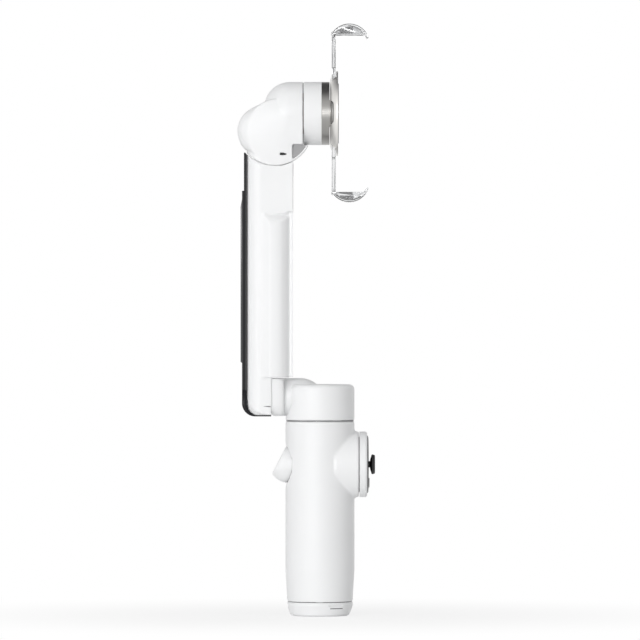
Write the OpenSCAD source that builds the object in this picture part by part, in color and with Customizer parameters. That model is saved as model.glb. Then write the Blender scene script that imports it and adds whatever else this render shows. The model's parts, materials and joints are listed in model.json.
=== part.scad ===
/* [Handle] */
// Outer radius of the handle tube and the pan housing
handle_r = 17.25; // [16.5:0.25:18]
// Wall of the handle tube
handle_wall = 1.8; // [1.5:0.1:2.2]
// How far the handle draws in at its lower seam
foot_inset = 0.95; // [0.85:0.05:1.25]
// Height of the lower seam, where the base cap begins
base_seam_z = 7; // [6:0.25:8]
// Length of the handle tube between its seams
handle_l = 90.2; // [88:0.2:96]
// Length of the tapered foot of the handle
taper_l = 15.75; // [10:0.25:20]
// Gap at the seams between turning housings
seam_gap = 0.4; // [0.3:0.05:0.5]

/* [Battery and frame] */
// Length of the handle that the battery cell leaves free
battery_room = 30.2; // [30:0.2:40]
// Room for the tripod legs around the battery sleeve
leg_room = 6.25; // [6.2:0.05:6.5]
// Wall of the battery sleeve
sleeve_wall = 0.8; // [0.6:0.1:1]
// Thickness of the frame deck under the pan motor
deck_t = 2; // [1.5:0.25:2.5]
// Distance from the handle top down to the deck's upper face
deck_drop = 13.2; // [13:0.1:14]

/* [Control panel] */
// Radius of the round control boss
boss_r = 16.4; // [15.5:0.1:16.6]
// Wall of the control boss
boss_wall = 2.6; // [2.2:0.1:3]
// Height of the boss axis below the handle top
boss_drop = 21.6; // [20:0.1:23]
// Distance from the handle axis to the end of the boss
boss_x = 19.4; // [19:0.1:21]
// Depth of the touch ring in front of the boss
ring_t = 3.85; // [3:0.05:5]
// Depth of the groove between boss and touch ring
groove_w = 0.35; // [0.3:0.05:0.5]
// How far the black face stands proud of the ring
face_rise = 0.65; // [0.4:0.05:0.9]
// Radius of the joystick head
stick_r = 5; // [4:0.1:5.5]
// Height of the joystick head
stick_h = 2.5; // [2:0.1:3]
// Radius of the joystick stem
stem_r = 1.6; // [1.3:0.1:1.8]
// Radius of the shutter button
shutter_r = 2.4; // [2:0.1:2.6]
// Distance of the shutter button below the joystick
shutter_drop = 9.2; // [9:0.1:9.6]

/* [Trigger] */
// How far the trigger tip stands out of the handle
trigger_reach = 6.5; // [5:0.25:6.75]
// Half width of the lever behind the trigger pad
trigger_half = 5.4; // [4.5:0.1:5.5]
// Height of the round trigger pad
trigger_h = 18.4; // [17:0.1:18.6]

/* [Base and tripod] */
// Radius of the flat bottom of the base cap
base_flat_r = 13.9; // [13:0.1:15]
// Wall radius of the quarter-inch tripod thread
thread_r = 2.6; // [2.4:0.05:2.8]
// Depth of the tripod thread
thread_l = 8; // [7:0.25:9]
// Radius of the threaded insert
insert_r = 4.2; // [3.8:0.1:5]
// Length of the tripod legs
leg_l = 52; // [40:1:53]
// Thickness of the tripod legs
leg_t = 4.2; // [3:0.1:4.3]
// Angle that one leg covers
leg_span = 52; // [40:1:54]

/* [Pan and fold] */
// Height of the pan housing
pan_h = 18; // [17:0.25:19]
// Depth of the fold axis under the top of the pan housing
fold_drop = 6.35; // [6:0.05:6.7]
// Radius of the elbow tube
elbow_r = 9.5; // [9:0.1:9.7]
// Radius of the rounding at the end of the elbow
elbow_round = 13; // [12:0.25:13]
// Radius of the pan motor shaft
pan_shaft_r = 3; // [2.5:0.1:3.3]
// Radius of the fold pin
fold_pin_r = 2; // [1.5:0.1:2.5]

/* [Arm] */
// Distance from the fold axis up to the tilt axis
arm_l = 134.25; // [132:0.25:142]
// Distance from the handle axis to the outer face of the arm
arm_out = 36.5; // [36:0.1:38]
// Distance from the handle axis to the inner edge of the arm
arm_in = 13.25; // [13:0.05:13.6]
// Distance of the arm's near face from its middle plane
arm_near = 13; // [12.8:0.1:14]
// Distance of the arm's far face from its middle plane
arm_far = 12; // [11:0.1:13]
// Radius of the rounded outer edges of the arm
arm_round = 7; // [5:0.25:8]
// Radius of the arm's lower corner
corner_r = 10; // [8:0.25:11]
// Clearance between the folded arm and the handle
cradle_gap = 0.6; // [0.6:0.05:1]
// Height of the rounded rib on the near face
rib_h = 2.2; // [1.8:0.1:2.4]
// Width of the rounded rib
rib_w = 14.75; // [13:0.25:15]
// Length of the rounded rib
rib_l = 84.9; // [80:0.1:88]
// Radius of the rib's inner edge, where it rolls towards the handle
rib_roll = 2.4; // [2:0.1:2.6]
// Thickness of the gloss cover on the back of the arm
cover_t = 2.45; // [2:0.05:2.6]
// Half width of the gloss cover
cover_half = 9; // [7:0.25:9.5]
// Height of the raised inlay on the gloss cover
inlay_h = 2; // [1:0.1:2.5]

/* [Extension rod] */
// Radius of the fixed post of the extension rod
post_r = 2; // [1.8:0.05:2.1]
// Wall of each extension tube
rod_wall = 0.7; // [0.5:0.05:0.7]
// Length of each extension tube
rod_l = 108; // [100:1:109]

/* [Tilt and roll head] */
// Distance of the tilt axis behind the handle axis
tilt_back = 22.5; // [22:0.1:23]
// Radius of the arm's tilt hub
hub_r = 9; // [8.5:0.1:9.2]
// Radius that the tilting head turns in
head_turn_r = 18.8; // [18.4:0.1:19]
// Height of the roll axis above the tilt axis
roll_rise = 7.5; // [7:0.1:8]
// Radius of the roll motor housing
roll_r = 15.75; // [15.5:0.05:16.2]
// Radius of the rounded rear end of the roll motor
dome_round = 13; // [11:0.25:13.5]
// Length of the roll motor housing from its rear end to the split line
roll_housing_l = 19.45; // [19:0.05:20]
// Length of the turning roll cap
roll_cap_l = 8.9; // [8:0.1:9.5]
// Length of the metal mount ring
mount_ring_l = 4; // [3.5:0.1:4.5]

/* [Phone clamp] */
// Radius of the clamp disc
clamp_r = 21.5; // [20:0.25:23]
// Thickness of the clamp disc
clamp_t = 3.95; // [3.8:0.05:4.4]
// Thickness of the clear jaw bars
jaw_t = 1.9; // [1.7:0.05:2]
// Half width of the jaw bars
jaw_half = 10; // [9:0.25:10.5]
// Half width of the jaw hooks
hook_half = 12; // [11:0.25:13]
// Height of the gap between the jaws at rest
jaw_gap = 78; // [76:0.5:86]
// Radius of the jaw hooks
hook_r = 10.25; // [10:0.05:10.75]
// Wall of the jaw hooks
hook_wall = 1.3; // [1.1:0.1:1.6]

/* [Hidden] */
$fn = 64;
// Clearance between pieces that move past each other
gap = 0.35;
// Clearance between a pin and its bore
fit = 0.05;
// Extra length of cutting shapes
over = 1;

// Heights along the handle
handle_top = base_seam_z + handle_l;
handle_bore_r = handle_r - handle_wall;
handle_foot_r = handle_r - foot_inset;
deck_top = handle_top - deck_drop;
deck_bottom = deck_top - deck_t;
sleeve_r = handle_foot_r - leg_room;
battery_r = sleeve_r - sleeve_wall - fit;
battery_l = handle_l - battery_room;
battery_z = deck_bottom - 2 - battery_l;
sleeve_z = battery_z - 2;

// Places on the control panel, along X from the handle axis
boss_z = handle_top - boss_drop;
boss_bore_r = boss_r - boss_wall;
board_x = boss_x - 5.5;
board_t = 1.3;
board_r = boss_bore_r - 0.8;
ring_back = boss_x + groove_w;
ring_front = ring_back + ring_t;
face_front = ring_front + face_rise;
face_t = 2.4;
face_r = boss_r - 2;
stick_x = face_front - 5.75;
stick_hole_r = stem_r + 1.8;
socket_r = stem_r + 3.4;
yoke_r = socket_r - 0.4;
pivot_r = 0.8;

// Trigger pivot and outline
pivot_x = -(sleeve_r + 2.35);
pivot_z = deck_top + 0.6;
trigger_mid = boss_z;
trigger_r = trigger_h / 2;
trigger_low = trigger_mid - trigger_r;
trigger_tip_x = -(handle_r + trigger_reach);
trigger_in_r = handle_bore_r + 0.75;
trigger_drop = 0.75;
trigger_nose = 7.5;
trigger_pin_r = 0.9;

// Service side, where the power button and the charging socket sit
service_angle = 120;
power_r = 3;
power_z = base_seam_z + 43;
usb_z = base_seam_z + 29;
usb_w = 8.9;
usb_h = 3.2;

// Tripod
leg_angles = [180, 60, -60];
leg_r = handle_foot_r - 1.6;
hub_top = base_seam_z + 5.6;
hub_plate_r = leg_r + 0.2;
leg_foot_z = base_seam_z + 2.4;
leg_pin_r = 1;
leg_pin_z = leg_foot_z + 1.7;
leg_pin_at = leg_r - leg_t / 2;
cap_top = base_seam_z - gap;

// Pan motor, from the deck upwards
bearing_r = pan_shaft_r + 2;
bearing_h = 3;
post_tube_r = bearing_r + 1.6;
bell_top = handle_top - 0.5;
bell_roof = 1.2;
bell_r = handle_bore_r - 2.25;
pan_bottom = handle_top + seam_gap;
pan_top = pan_bottom + pan_h;

// Elbow and arm
fold_z = pan_top - fold_drop;
elbow_flat_x = 1;
elbow_round_x = -10;
elbow_back = 23.7;
flare_x = -handle_r - 0.65;
flare_round = 5;
arm_base = fold_z - elbow_r + 0.75;
elbow_top = fold_z + elbow_r;
spine_in = handle_r + cradle_gap;
cradle_top = fold_z + 110;
stub_r = 6.8;
stub_x = arm_out - 2.9;
tilt_x = -tilt_back;
tilt_z = fold_z + arm_l;
arm_clear_r = head_turn_r + seam_gap;
ledge_w = 1.5;
ledge_y = -arm_near + 0.6;
rib_low = elbow_top + gap;
rib_right = -arm_in - ledge_w;
rib_crown = 40;
rod_x = -(arm_out - 7);
tube_1_r = post_r + fit + rod_wall;
tube_2_r = tube_1_r + fit + rod_wall;
rod_sleeve_r = tube_2_r + fit + rod_wall;
rod_bore_r = rod_sleeve_r + fit;
rod_base = fold_z - 4;
rod_top = rod_base + rod_l + 4;

// Head, along X
roll_z = tilt_z + roll_rise;
dome_x = tilt_x - 5.5;
split_x = dome_x + roll_housing_l;
cap_x = split_x + seam_gap;
ring_x = cap_x + roll_cap_l;
disc_x = ring_x + mount_ring_l + 0.3;
disc_front = disc_x + clamp_t;
jaw_x = disc_x + 0.85;
head_near = arm_near - 0.2;
neck_low = -25;
neck_high = 70;
neck_half = hub_r - 2;
bulge_x = tilt_x - 6.1;
bulge_z = tilt_z - 1.5;
bulge_r = 12.7;
bulge_edge = arm_round;
chin_x = tilt_x + 2;
chin_z = tilt_z - 2;
chin_r = 16.7;
chin_edge = 1.2;
pocket_left = split_x - 5.2;
pocket_rim = 0.9;
pocket_depth = 1.6;
pocket_step = 0.5;
vent_x = 2.5;
vent_drop = 13.7;
vent_w = 3.5;
vent_h = 1.4;
vent_floor = 0.4;

// Tilt motor
tilt_shaft_r = 2.5;
tilt_bearing_r = 4.5;
tilt_stator_r = 7.4;
tilt_bell_r = 10.4;
tilt_bell_near = head_near - 3;

// Roll motor
roll_seat_x = tilt_x + 11.3;
roll_seat_r = 13;
roll_core_r = 10.2;
roll_shaft_r = 2.5;
roll_bearing_r = 4.5;
roll_front = ring_x - 1.75;

// Quick-release keys on the mount ring
key_half = 7;
key_top_half = 4.75;
key_h = 1.75;

// Clamp plate, pad and jaw hooks
plate_x = jaw_x + jaw_t + 0.3;
hook_x = jaw_x + 8.7;
hook_z = jaw_gap / 2 - 4.8;
pad_r = 15;
pad_t = 0.8;

// Shared shapes
module rod_along_x(r, x0, x1) {
    translate([x0, 0, 0])
        rotate([0, 90, 0])
            cylinder(r = r, h = x1 - x0);
}

module rod_along_y(r, y0, y1) {
    translate([0, y0, 0])
        rotate([-90, 0, 0])
            cylinder(r = r, h = y1 - y0);
}

module ring(r_out, r_in, h) {
    difference() {
        cylinder(r = r_out, h = h);
        translate([0, 0, -over])
            cylinder(r = r_in, h = h + 2 * over);
    }
}

module ring_along_x(r_out, r_in, x0, x1) {
    translate([x0, 0, 0])
        rotate([0, 90, 0])
            ring(r_out, r_in, x1 - x0);
}

module ring_along_y(r_out, r_in, y0, y1) {
    translate([0, y0, 0])
        rotate([-90, 0, 0])
            ring(r_out, r_in, y1 - y0);
}

// A side outline in X and Z, pushed from y0 to y1
module side_plate(y0, y1) {
    translate([0, y1, 0])
        rotate([90, 0, 0])
            linear_extrude(height = y1 - y0)
                children();
}

// Half outline of a plug with a rounded end at its low side
module plug_outline(r, low, high, round_r) {
    intersection() {
        translate([0, low])
            square([r, high - low]);
        union() {
            translate([r - round_r, low + round_r])
                circle(r = round_r);
            translate([0, low])
                square([r - round_r + 0.001, high - low]);
            translate([0, low + round_r])
                square([r, high - low - round_r]);
        }
    }
}

module at_boss() {
    translate([0, 0, boss_z])
        children();
}

module at_roll() {
    translate([0, 0, roll_z])
        children();
}

module at_tilt() {
    translate([tilt_x, 0, tilt_z])
        children();
}

module at_fold() {
    translate([0, 0, fold_z])
        children();
}

module obround_bar(w, h, x0, x1) {
    translate([x0, 0, 0])
        rotate([90, 0, 90])
            linear_extrude(height = x1 - x0) {
                square([w - h, h], center = true);
                for (side = [-1, 1])
                    translate([side * (w - h) / 2, 0])
                        circle(d = h);
            }
}

// Handle
module handle_shell() {
    color("white")
        difference() {
            union() {
                rotate_extrude()
                    polygon([
                        [handle_bore_r - 2, base_seam_z],
                        [handle_foot_r, base_seam_z],
                        [handle_r, base_seam_z + taper_l],
                        [handle_r, handle_top - 0.4],
                        [handle_r - 0.4, handle_top],
                        [handle_bore_r - 2, handle_top]
                    ]);
                at_boss()
                    rod_along_x(boss_r, handle_bore_r / 2, boss_x);
            }
            translate([0, 0, -over])
                cylinder(r = handle_bore_r, h = handle_top + 2 * over);
            at_boss()
                rod_along_x(boss_bore_r, handle_bore_r / 2 - over, boss_x + over);
            trigger_window();
            rotate([0, 0, service_angle]) {
                translate([0, 0, power_z])
                    rod_along_x(power_r + gap, handle_bore_r - 2, handle_r + over);
                translate([0, 0, usb_z])
                    obround_bar(usb_w + 0.5, usb_h + 0.5, handle_bore_r - 2, handle_r + over);
            }
        }
}

// Round window for the trigger pad, with room below for its press
module trigger_window() {
    for (drop = [0, trigger_drop])
        translate([0, 0, trigger_mid - drop])
            rod_along_x(trigger_r + gap, -handle_r - over, -trigger_in_r * 0.65);
}

module handle_chassis() {
    ear_y = trigger_half + 0.7;
    color("dimgray")
        difference() {
            union() {
                translate([0, 0, deck_bottom])
                    cylinder(r = handle_bore_r - fit, h = deck_t);
                translate([0, 0, sleeve_z])
                    cylinder(r = sleeve_r, h = deck_bottom - sleeve_z + 0.5);
                translate([0, 0, deck_top - 0.5])
                    cylinder(r = post_tube_r, h = bell_top - bell_roof - 0.4 - deck_top + 0.5);
                for (side = [-1, 1])
                    translate([pivot_x - 1, side * (ear_y + 0.7) - 0.7, deck_top - 0.5])
                        cube([2.2, 1.4, 2.1]);
            }
            translate([0, 0, battery_z])
                cylinder(r = battery_r + fit, h = battery_l + fit);
            translate([0, 0, sleeve_z - over])
                cylinder(r = battery_r - 1.2, h = battery_l);
            translate([0, 0, battery_z + battery_l])
                cylinder(r = bearing_r - 0.9, h = deck_top - battery_z);
            translate([0, 0, deck_top - bearing_h + 0.6])
                cylinder(r = bearing_r + fit, h = handle_top);
            translate([-handle_r, -trigger_half - gap - 0.1, deck_bottom - over])
                cube([handle_r - sleeve_r - 0.2, 2 * (trigger_half + gap + 0.1), deck_t + 4]);
            translate([board_x - 0.5, -handle_r, deck_bottom - over])
                cube([handle_r, 2 * handle_r, deck_t + 2 * over]);
            translate([pivot_x, 0, pivot_z])
                rod_along_y(trigger_pin_r + fit, -handle_r, handle_r);
        }
}

module battery_cell() {
    color("royalblue")
        translate([0, 0, battery_z])
            rotate_extrude()
                plug_outline(battery_r, 0, battery_l, 0.6);
}

module main_board() {
    color("darkgreen")
        at_boss()
            difference() {
                rod_along_x(board_r, board_x, board_x + board_t);
                for (turn = [45 : 90 : 315])
                    rotate([turn, 0, 0])
                        translate([0, 0, board_r - 1.8])
                            rod_along_x(0.8, board_x - over, board_x + board_t + over);
            }
}

module touch_ring() {
    lip_r = boss_bore_r - fit;
    inner_r = board_r - 0.6;
    color("white")
        at_boss()
            rotate([0, 90, 0])
                rotate_extrude()
                    polygon([
                        [inner_r, board_x + board_t + fit],
                        [lip_r, board_x + board_t + fit],
                        [lip_r, ring_back],
                        [boss_r, ring_back],
                        [boss_r, ring_front - 1],
                        [boss_r - 0.3, ring_front - 0.4],
                        [boss_r - 0.9, ring_front],
                        [face_r + fit, ring_front],
                        [face_r + fit, face_front - face_t - fit],
                        [inner_r, face_front - face_t - fit]
                    ]);
}

module control_face() {
    color("black")
        at_boss()
            difference() {
                rotate([0, 90, 0])
                    rotate_extrude()
                        polygon([
                            [0, face_front - face_t],
                            [face_r, face_front - face_t],
                            [face_r, face_front - 0.5],
                            [face_r - 0.6, face_front - 0.1],
                            [face_r - 2, face_front],
                            [0, face_front]
                        ]);
                rod_along_x(stick_hole_r, face_front - face_t - over, face_front + over);
                translate([0, 0, -shutter_drop])
                    rod_along_x(shutter_r + 0.25, face_front - face_t - over, face_front + over);
            }
}

module joystick_socket() {
    socket_back = board_x + board_t + fit;
    color("silver")
        at_boss()
            difference() {
                rod_along_x(socket_r + 1.1, socket_back, stick_x + 1.6);
                rod_along_x(socket_r, socket_back + 0.8, stick_x + 1.6 + over);
                translate([stick_x, 0, 0])
                    rod_along_y(pivot_r + fit, -socket_r - 2, socket_r + 2);
            }
}

module joystick_yoke() {
    color("gainsboro")
        at_boss()
            translate([stick_x, 0, 0])
                difference() {
                    union() {
                        rod_along_x(yoke_r, -1, 1);
                        rod_along_y(pivot_r, -socket_r - 0.9, socket_r + 0.9);
                    }
                    rod_along_x(yoke_r - 1.2, -1 - over, 1 + over);
                    cylinder(r = pivot_r + fit, h = 3 * yoke_r, center = true);
                }
}

module joystick_cap() {
    head_back = face_front - stick_x + 0.75;
    color("black")
        at_boss()
            translate([stick_x, 0, 0]) {
                rod_along_x(stem_r, -1.4, head_back + 0.5);
                cylinder(r = pivot_r, h = 2 * yoke_r - 0.2, center = true);
                rotate([0, 90, 0])
                    rotate_extrude()
                        polygon([
                            [0, head_back],
                            [stem_r + 0.6, head_back],
                            [stick_r - 0.2, head_back + 0.8],
                            [stick_r, head_back + 1.1],
                            [stick_r - 0.3, head_back + stick_h - 0.2],
                            [stick_r - 0.8, head_back + stick_h],
                            [stick_r - 1.6, head_back + stick_h - 0.3],
                            [0, head_back + stick_h - 0.7]
                        ]);
            }
}

module shutter_button() {
    color("whitesmoke")
        at_boss()
            translate([0, 0, -shutter_drop]) {
                rod_along_x(shutter_r, face_front - face_t - 0.8, face_front + 0.5);
                rod_along_x(shutter_r / 2, board_x + board_t + 1, face_front - face_t);
            }
}

module power_button() {
    color("whitesmoke")
        rotate([0, 0, service_angle])
            translate([0, 0, power_z]) {
                rod_along_x(power_r, handle_bore_r - 0.6, handle_r + 0.4);
                rod_along_x(power_r / 2, sleeve_r + 1, handle_bore_r);
            }
}

module usb_port() {
    color("silver")
        rotate([0, 0, service_angle])
            translate([0, 0, usb_z]) {
                difference() {
                    obround_bar(usb_w, usb_h, sleeve_r + fit, handle_r - 0.4);
                    obround_bar(usb_w - 0.7, usb_h - 0.7, sleeve_r + 1, handle_r);
                }
                translate([sleeve_r + 0.5, -3.1, -0.35])
                    cube([handle_r - sleeve_r - 1.5, 6.2, 0.7]);
            }
}

module trigger_pin() {
    pin_half = trigger_half + 1.9;
    color("silver")
        translate([pivot_x, 0, pivot_z])
            rod_along_y(trigger_pin_r, -pin_half, pin_half);
}

// Side outline of the pad, with its slanted face and rounded underside
module trigger_outline() {
    lip_z = trigger_low + trigger_h / 4;
    polygon([
        [pivot_x + 1, trigger_low],
        [pivot_x + 1, trigger_mid + trigger_r],
        [-handle_r + 0.5, trigger_mid + trigger_r],
        [trigger_tip_x + 0.1, lip_z + 0.7],
        [trigger_tip_x, lip_z],
        [trigger_tip_x + 0.35, lip_z - 0.7],
        [trigger_tip_x + 2.2, trigger_low + 1.9],
        [trigger_tip_x + 4.7, trigger_low + 0.6],
        [-handle_r + 0.2, trigger_low]
    ]);
}

// Lever from the pad to the pivot, inside the window where it crosses the wall
module trigger_lever() {
    foot_x = -trigger_in_r - 0.3;
    foot_z = trigger_mid + trigger_r - 1.8;
    intersection() {
        side_plate(-trigger_half, trigger_half)
            polygon([
                [pivot_x + 1.2, pivot_z - 1.6],
                [pivot_x + 1.2, pivot_z + 1],
                [pivot_x - 1.4, pivot_z + 1],
                [foot_x, foot_z],
                [foot_x, foot_z - 4],
                [pivot_x - 1.4, pivot_z - 4]
            ]);
        union() {
            translate([0, 0, trigger_low])
                cylinder(r = handle_bore_r - gap, h = trigger_h + handle_wall);
            translate([0, 0, trigger_mid])
                rod_along_x(trigger_r, -handle_r, pivot_x);
        }
    }
}

module trigger() {
    color("white")
        difference() {
            union() {
                difference() {
                    intersection() {
                        side_plate(-trigger_r - over, trigger_r + over)
                            trigger_outline();
                        translate([0, 0, trigger_mid])
                            rotate([0, 90, 0])
                                rotate_extrude()
                                    plug_outline(trigger_r, trigger_tip_x - 1.2, pivot_x + 1, trigger_nose);
                    }
                    translate([0, 0, trigger_low - over])
                        cylinder(r = trigger_in_r, h = trigger_h + 2 * over);
                }
                trigger_lever();
            }
            translate([pivot_x, 0, pivot_z])
                rod_along_y(trigger_pin_r + fit, -handle_r, handle_r);
        }
}

// Base and tripod
module base_cap() {
    color("white")
        difference() {
            rotate_extrude()
                polygon([
                    [0, 0],
                    [base_flat_r - 0.4, 0],
                    [base_flat_r + 0.3, 0.25],
                    [base_flat_r + 1, 1],
                    [handle_foot_r + 0.2, base_seam_z - 1.6],
                    [handle_foot_r + 0.2, base_seam_z - 1],
                    [handle_foot_r, cap_top],
                    [0, cap_top]
                ]);
            translate([0, 0, -over])
                cylinder(r = insert_r + fit, h = base_seam_z + over);
            for (angle = leg_angles)
                rotate([0, 0, angle])
                    translate([base_flat_r + 2.6, -3.9, base_seam_z / 2])
                        rotate([0, -25, 0])
                            cube([4, 7.8, base_seam_z / 3]);
        }
}

module thread_insert() {
    color("goldenrod")
        ring(insert_r, thread_r, thread_l);
}

module tripod_hub() {
    color("dimgray")
        difference() {
            translate([0, 0, cap_top])
                cylinder(r = hub_plate_r, h = hub_top - cap_top);
            translate([0, 0, cap_top - over])
                cylinder(r = insert_r + fit, h = thread_l - cap_top + over + fit);
            for (angle = leg_angles)
                rotate([0, 0, angle])
                    leg_sector(leg_span + 2, leg_r - leg_t - 0.2, leg_r + 2, leg_foot_z - 0.1, hub_top + over);
            leg_pin_set(leg_pin_r + fit);
        }
}

module leg_sector(span, r_in, r_out, z0, z1) {
    rotate([0, 0, -span / 2])
        rotate_extrude(angle = span)
            translate([r_in, z0])
                square([r_out - r_in, z1 - z0]);
}

module leg_pin_set(r) {
    for (angle = leg_angles)
        rotate([0, 0, angle])
            translate([leg_pin_at, 0, leg_pin_z])
                rod_along_y(r, -7.2, 7.2);
}

module tripod_leg(angle) {
    color("gray")
        difference() {
            rotate([0, 0, angle])
                leg_sector(leg_span, leg_r - leg_t, leg_r, leg_foot_z, leg_foot_z + leg_l);
            leg_pin_set(leg_pin_r + fit);
            rotate([0, 0, angle])
                leg_sector(leg_span / 3, leg_r - 1, leg_r + over, leg_foot_z + 8, leg_foot_z + leg_l - 8);
        }
}

module tripod_leg_rear() {
    tripod_leg(leg_angles[0]);
}

module tripod_leg_left() {
    tripod_leg(leg_angles[1]);
}

module tripod_leg_right() {
    tripod_leg(leg_angles[2]);
}

module leg_pins() {
    color("silver")
        leg_pin_set(leg_pin_r);
}

// Pan motor and housing
module pan_stator() {
    stator_r = bell_r - 2.4;
    color("peru")
        translate([0, 0, deck_top + 4])
            difference() {
                union() {
                    ring(post_tube_r + 2, post_tube_r + fit, 6.5);
                    for (slot = [0 : 8])
                        rotate([0, 0, slot * 40])
                            translate([post_tube_r + 1, -1, 0.5])
                                cube([stator_r - post_tube_r - 2, 2, 5.5]);
                    for (slot = [0 : 8])
                        rotate([0, 0, slot * 40])
                            leg_sector(32, stator_r - 1.2, stator_r, 0.5, 6);
                }
                translate([0, 0, -over])
                    cylinder(r = post_tube_r + fit, h = 9);
            }
}

module pan_bearings() {
    color("silver")
        for (z = [deck_top - bearing_h + 0.6, bell_top - bell_roof - 0.4 - bearing_h - 0.2])
            translate([0, 0, z])
                ring(bearing_r, pan_shaft_r + fit, bearing_h);
}

module pan_shaft() {
    color("silver")
        translate([0, 0, deck_top - bearing_h + 0.8])
            cylinder(r = pan_shaft_r, h = pan_bottom + 1.5 - deck_top + bearing_h - 0.8);
}

module pan_bell() {
    color("slategray")
        difference() {
            union() {
                translate([0, 0, deck_top + 3.4])
                    cylinder(r = bell_r, h = bell_top - deck_top - 3.4);
                translate([0, 0, bell_top - 0.1])
                    cylinder(r = bell_r / 2, h = pan_bottom - bell_top + 0.1 - fit);
            }
            translate([0, 0, deck_top])
                cylinder(r = bell_r - 1, h = bell_top - bell_roof - deck_top);
            translate([0, 0, deck_top])
                cylinder(r = pan_shaft_r + fit, h = handle_top);
        }
}

module pan_magnets() {
    color("darkslategray")
        translate([0, 0, deck_top + 3.7])
            ring(bell_r - 1 - fit, bell_r - 2, 6.8);
}

module pan_housing() {
    color("white")
        difference() {
            translate([0, 0, pan_top])
                mirror([0, 0, 1])
                    rotate_extrude()
                        plug_outline(handle_r, 0, pan_h, 2.6);
            at_fold() {
                elbow_pocket();
                rod_along_x(fold_pin_r + fit, -handle_r, handle_r - 4);
            }
            translate([0, 0, pan_bottom - over])
                cylinder(r = pan_shaft_r + fit, h = over + 1.6);
        }
}

// Seat of the elbow in the pan housing, open at the top and at the back
module elbow_pocket() {
    mouth = elbow_r + gap;
    rotate([0, 90, 0])
        rotate_extrude()
            polygon([
                [0, -handle_r - over],
                [mouth, -handle_r - over],
                [mouth, elbow_round_x + 1],
                [mouth - 2.2, elbow_flat_x + 0.5],
                [0, elbow_flat_x + 0.5]
            ]);
}

module fold_pin() {
    color("silver")
        at_fold()
            rod_along_x(fold_pin_r, elbow_round_x + 2, handle_r - 4.2);
}

// Round elbow tube with its swelling end, grown by a clearance
module elbow_form(grow, back) {
    far_x = elbow_flat_x + grow;
    rotate([0, 90, 0])
        rotate_extrude()
            intersection() {
                translate([0, -back])
                    square([2 * elbow_r, back + far_x]);
                union() {
                    translate([elbow_r - elbow_round, elbow_round_x])
                        circle(r = elbow_round + grow);
                    translate([0, -back])
                        square([elbow_r + grow, back + elbow_round_x]);
                }
            }
}

// Flare that widens the round tube to the arm's section
module elbow_flare() {
    slice = 0.2;
    low = arm_base - fold_z;
    hull() {
        rod_along_x(elbow_r - 0.02, flare_x - slice, flare_x);
        translate([-elbow_back, 0, 0])
            rotate([90, 0, 90])
                linear_extrude(height = slice)
                    for (y = [-arm_near + flare_round, arm_far - flare_round], z = [low, elbow_r])
                        translate([y, z + sign(-z) * flare_round])
                            circle(r = flare_round);
    }
}

module elbow() {
    color("white")
        difference() {
            union() {
                at_fold() {
                    elbow_form(0, elbow_back);
                    elbow_flare();
                    rod_along_x(stub_r, -stub_x, -elbow_back + over);
                }
                translate([rod_x, 0, rod_base])
                    cylinder(r = post_r + 1.6, h = 4 + stub_r + 0.4);
            }
            at_fold()
                rod_along_x(fold_pin_r + fit, elbow_round_x + 1.6, elbow_flat_x + over);
            translate([rod_x, 0, rod_base])
                cylinder(r = post_r + fit, h = elbow_r + elbow_r);
        }
}

module rod_post() {
    color("silver")
        translate([rod_x, 0, rod_base])
            cylinder(r = post_r, h = rod_l);
}

// One tube of the extension rod, standing on the elbow's stub
module rod_tube(r_out, lift) {
    low = fold_z + stub_r + 1 + lift;
    color("silver")
        translate([rod_x, 0, low])
            ring(r_out, r_out - rod_wall, rod_top - low);
}

module rod_tube_1() {
    rod_tube(tube_1_r, 0);
}

module rod_tube_2() {
    rod_tube(tube_2_r, 0.5);
}

module rod_sleeve() {
    rod_tube(rod_sleeve_r, 1);
}

// Arm
module arm_section() {
    left = -arm_out;
    union() {
        translate([left + arm_round, -arm_near])
            square([arm_out - arm_in - arm_round, arm_near + arm_far]);
        translate([left, -arm_near + arm_round])
            square([arm_round + 1, arm_near + arm_far - 2 * arm_round]);
        for (y = [-arm_near + arm_round, arm_far - arm_round])
            translate([left + arm_round, y])
                circle(r = arm_round);
    }
}

// Side outline of the arm with its rounded lower corner
module arm_outline(top) {
    left = -arm_out;
    union() {
        translate([left + corner_r, arm_base])
            square([arm_out - elbow_back - gap - corner_r, top - arm_base]);
        translate([left, arm_base + corner_r])
            square([arm_out - elbow_back - gap, top - arm_base - corner_r]);
        translate([left, elbow_top + gap])
            square([arm_out - arm_in, top - elbow_top - gap]);
        intersection() {
            translate([left + corner_r, arm_base + corner_r])
                circle(r = corner_r);
            translate([left, arm_base])
                square(corner_r);
        }
    }
}

// Cross-section of the rib: a gentle rise, a crowned top and a tight roll at the inner edge
module rib_section() {
    crest = -arm_near - rib_h;
    left = rib_right - rib_w;
    roll_x = rib_right - rib_roll;
    roll_y = ledge_y + 0.2;
    intersection() {
        translate([left + 0.4 * rib_w, crest + rib_crown])
            circle(r = rib_crown, $fn = 256);
        union() {
            polygon([
                [left, -arm_near + 0.1],
                [left + rib_w / 3, crest - 0.2],
                [roll_x, crest - 0.2],
                [roll_x, -arm_near + over],
                [left, -arm_near + over]
            ]);
            translate([roll_x, roll_y])
                circle(r = rib_roll);
            translate([roll_x - rib_roll, roll_y])
                square([2 * rib_roll, ledge_y + over - roll_y]);
        }
    }
}

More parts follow.
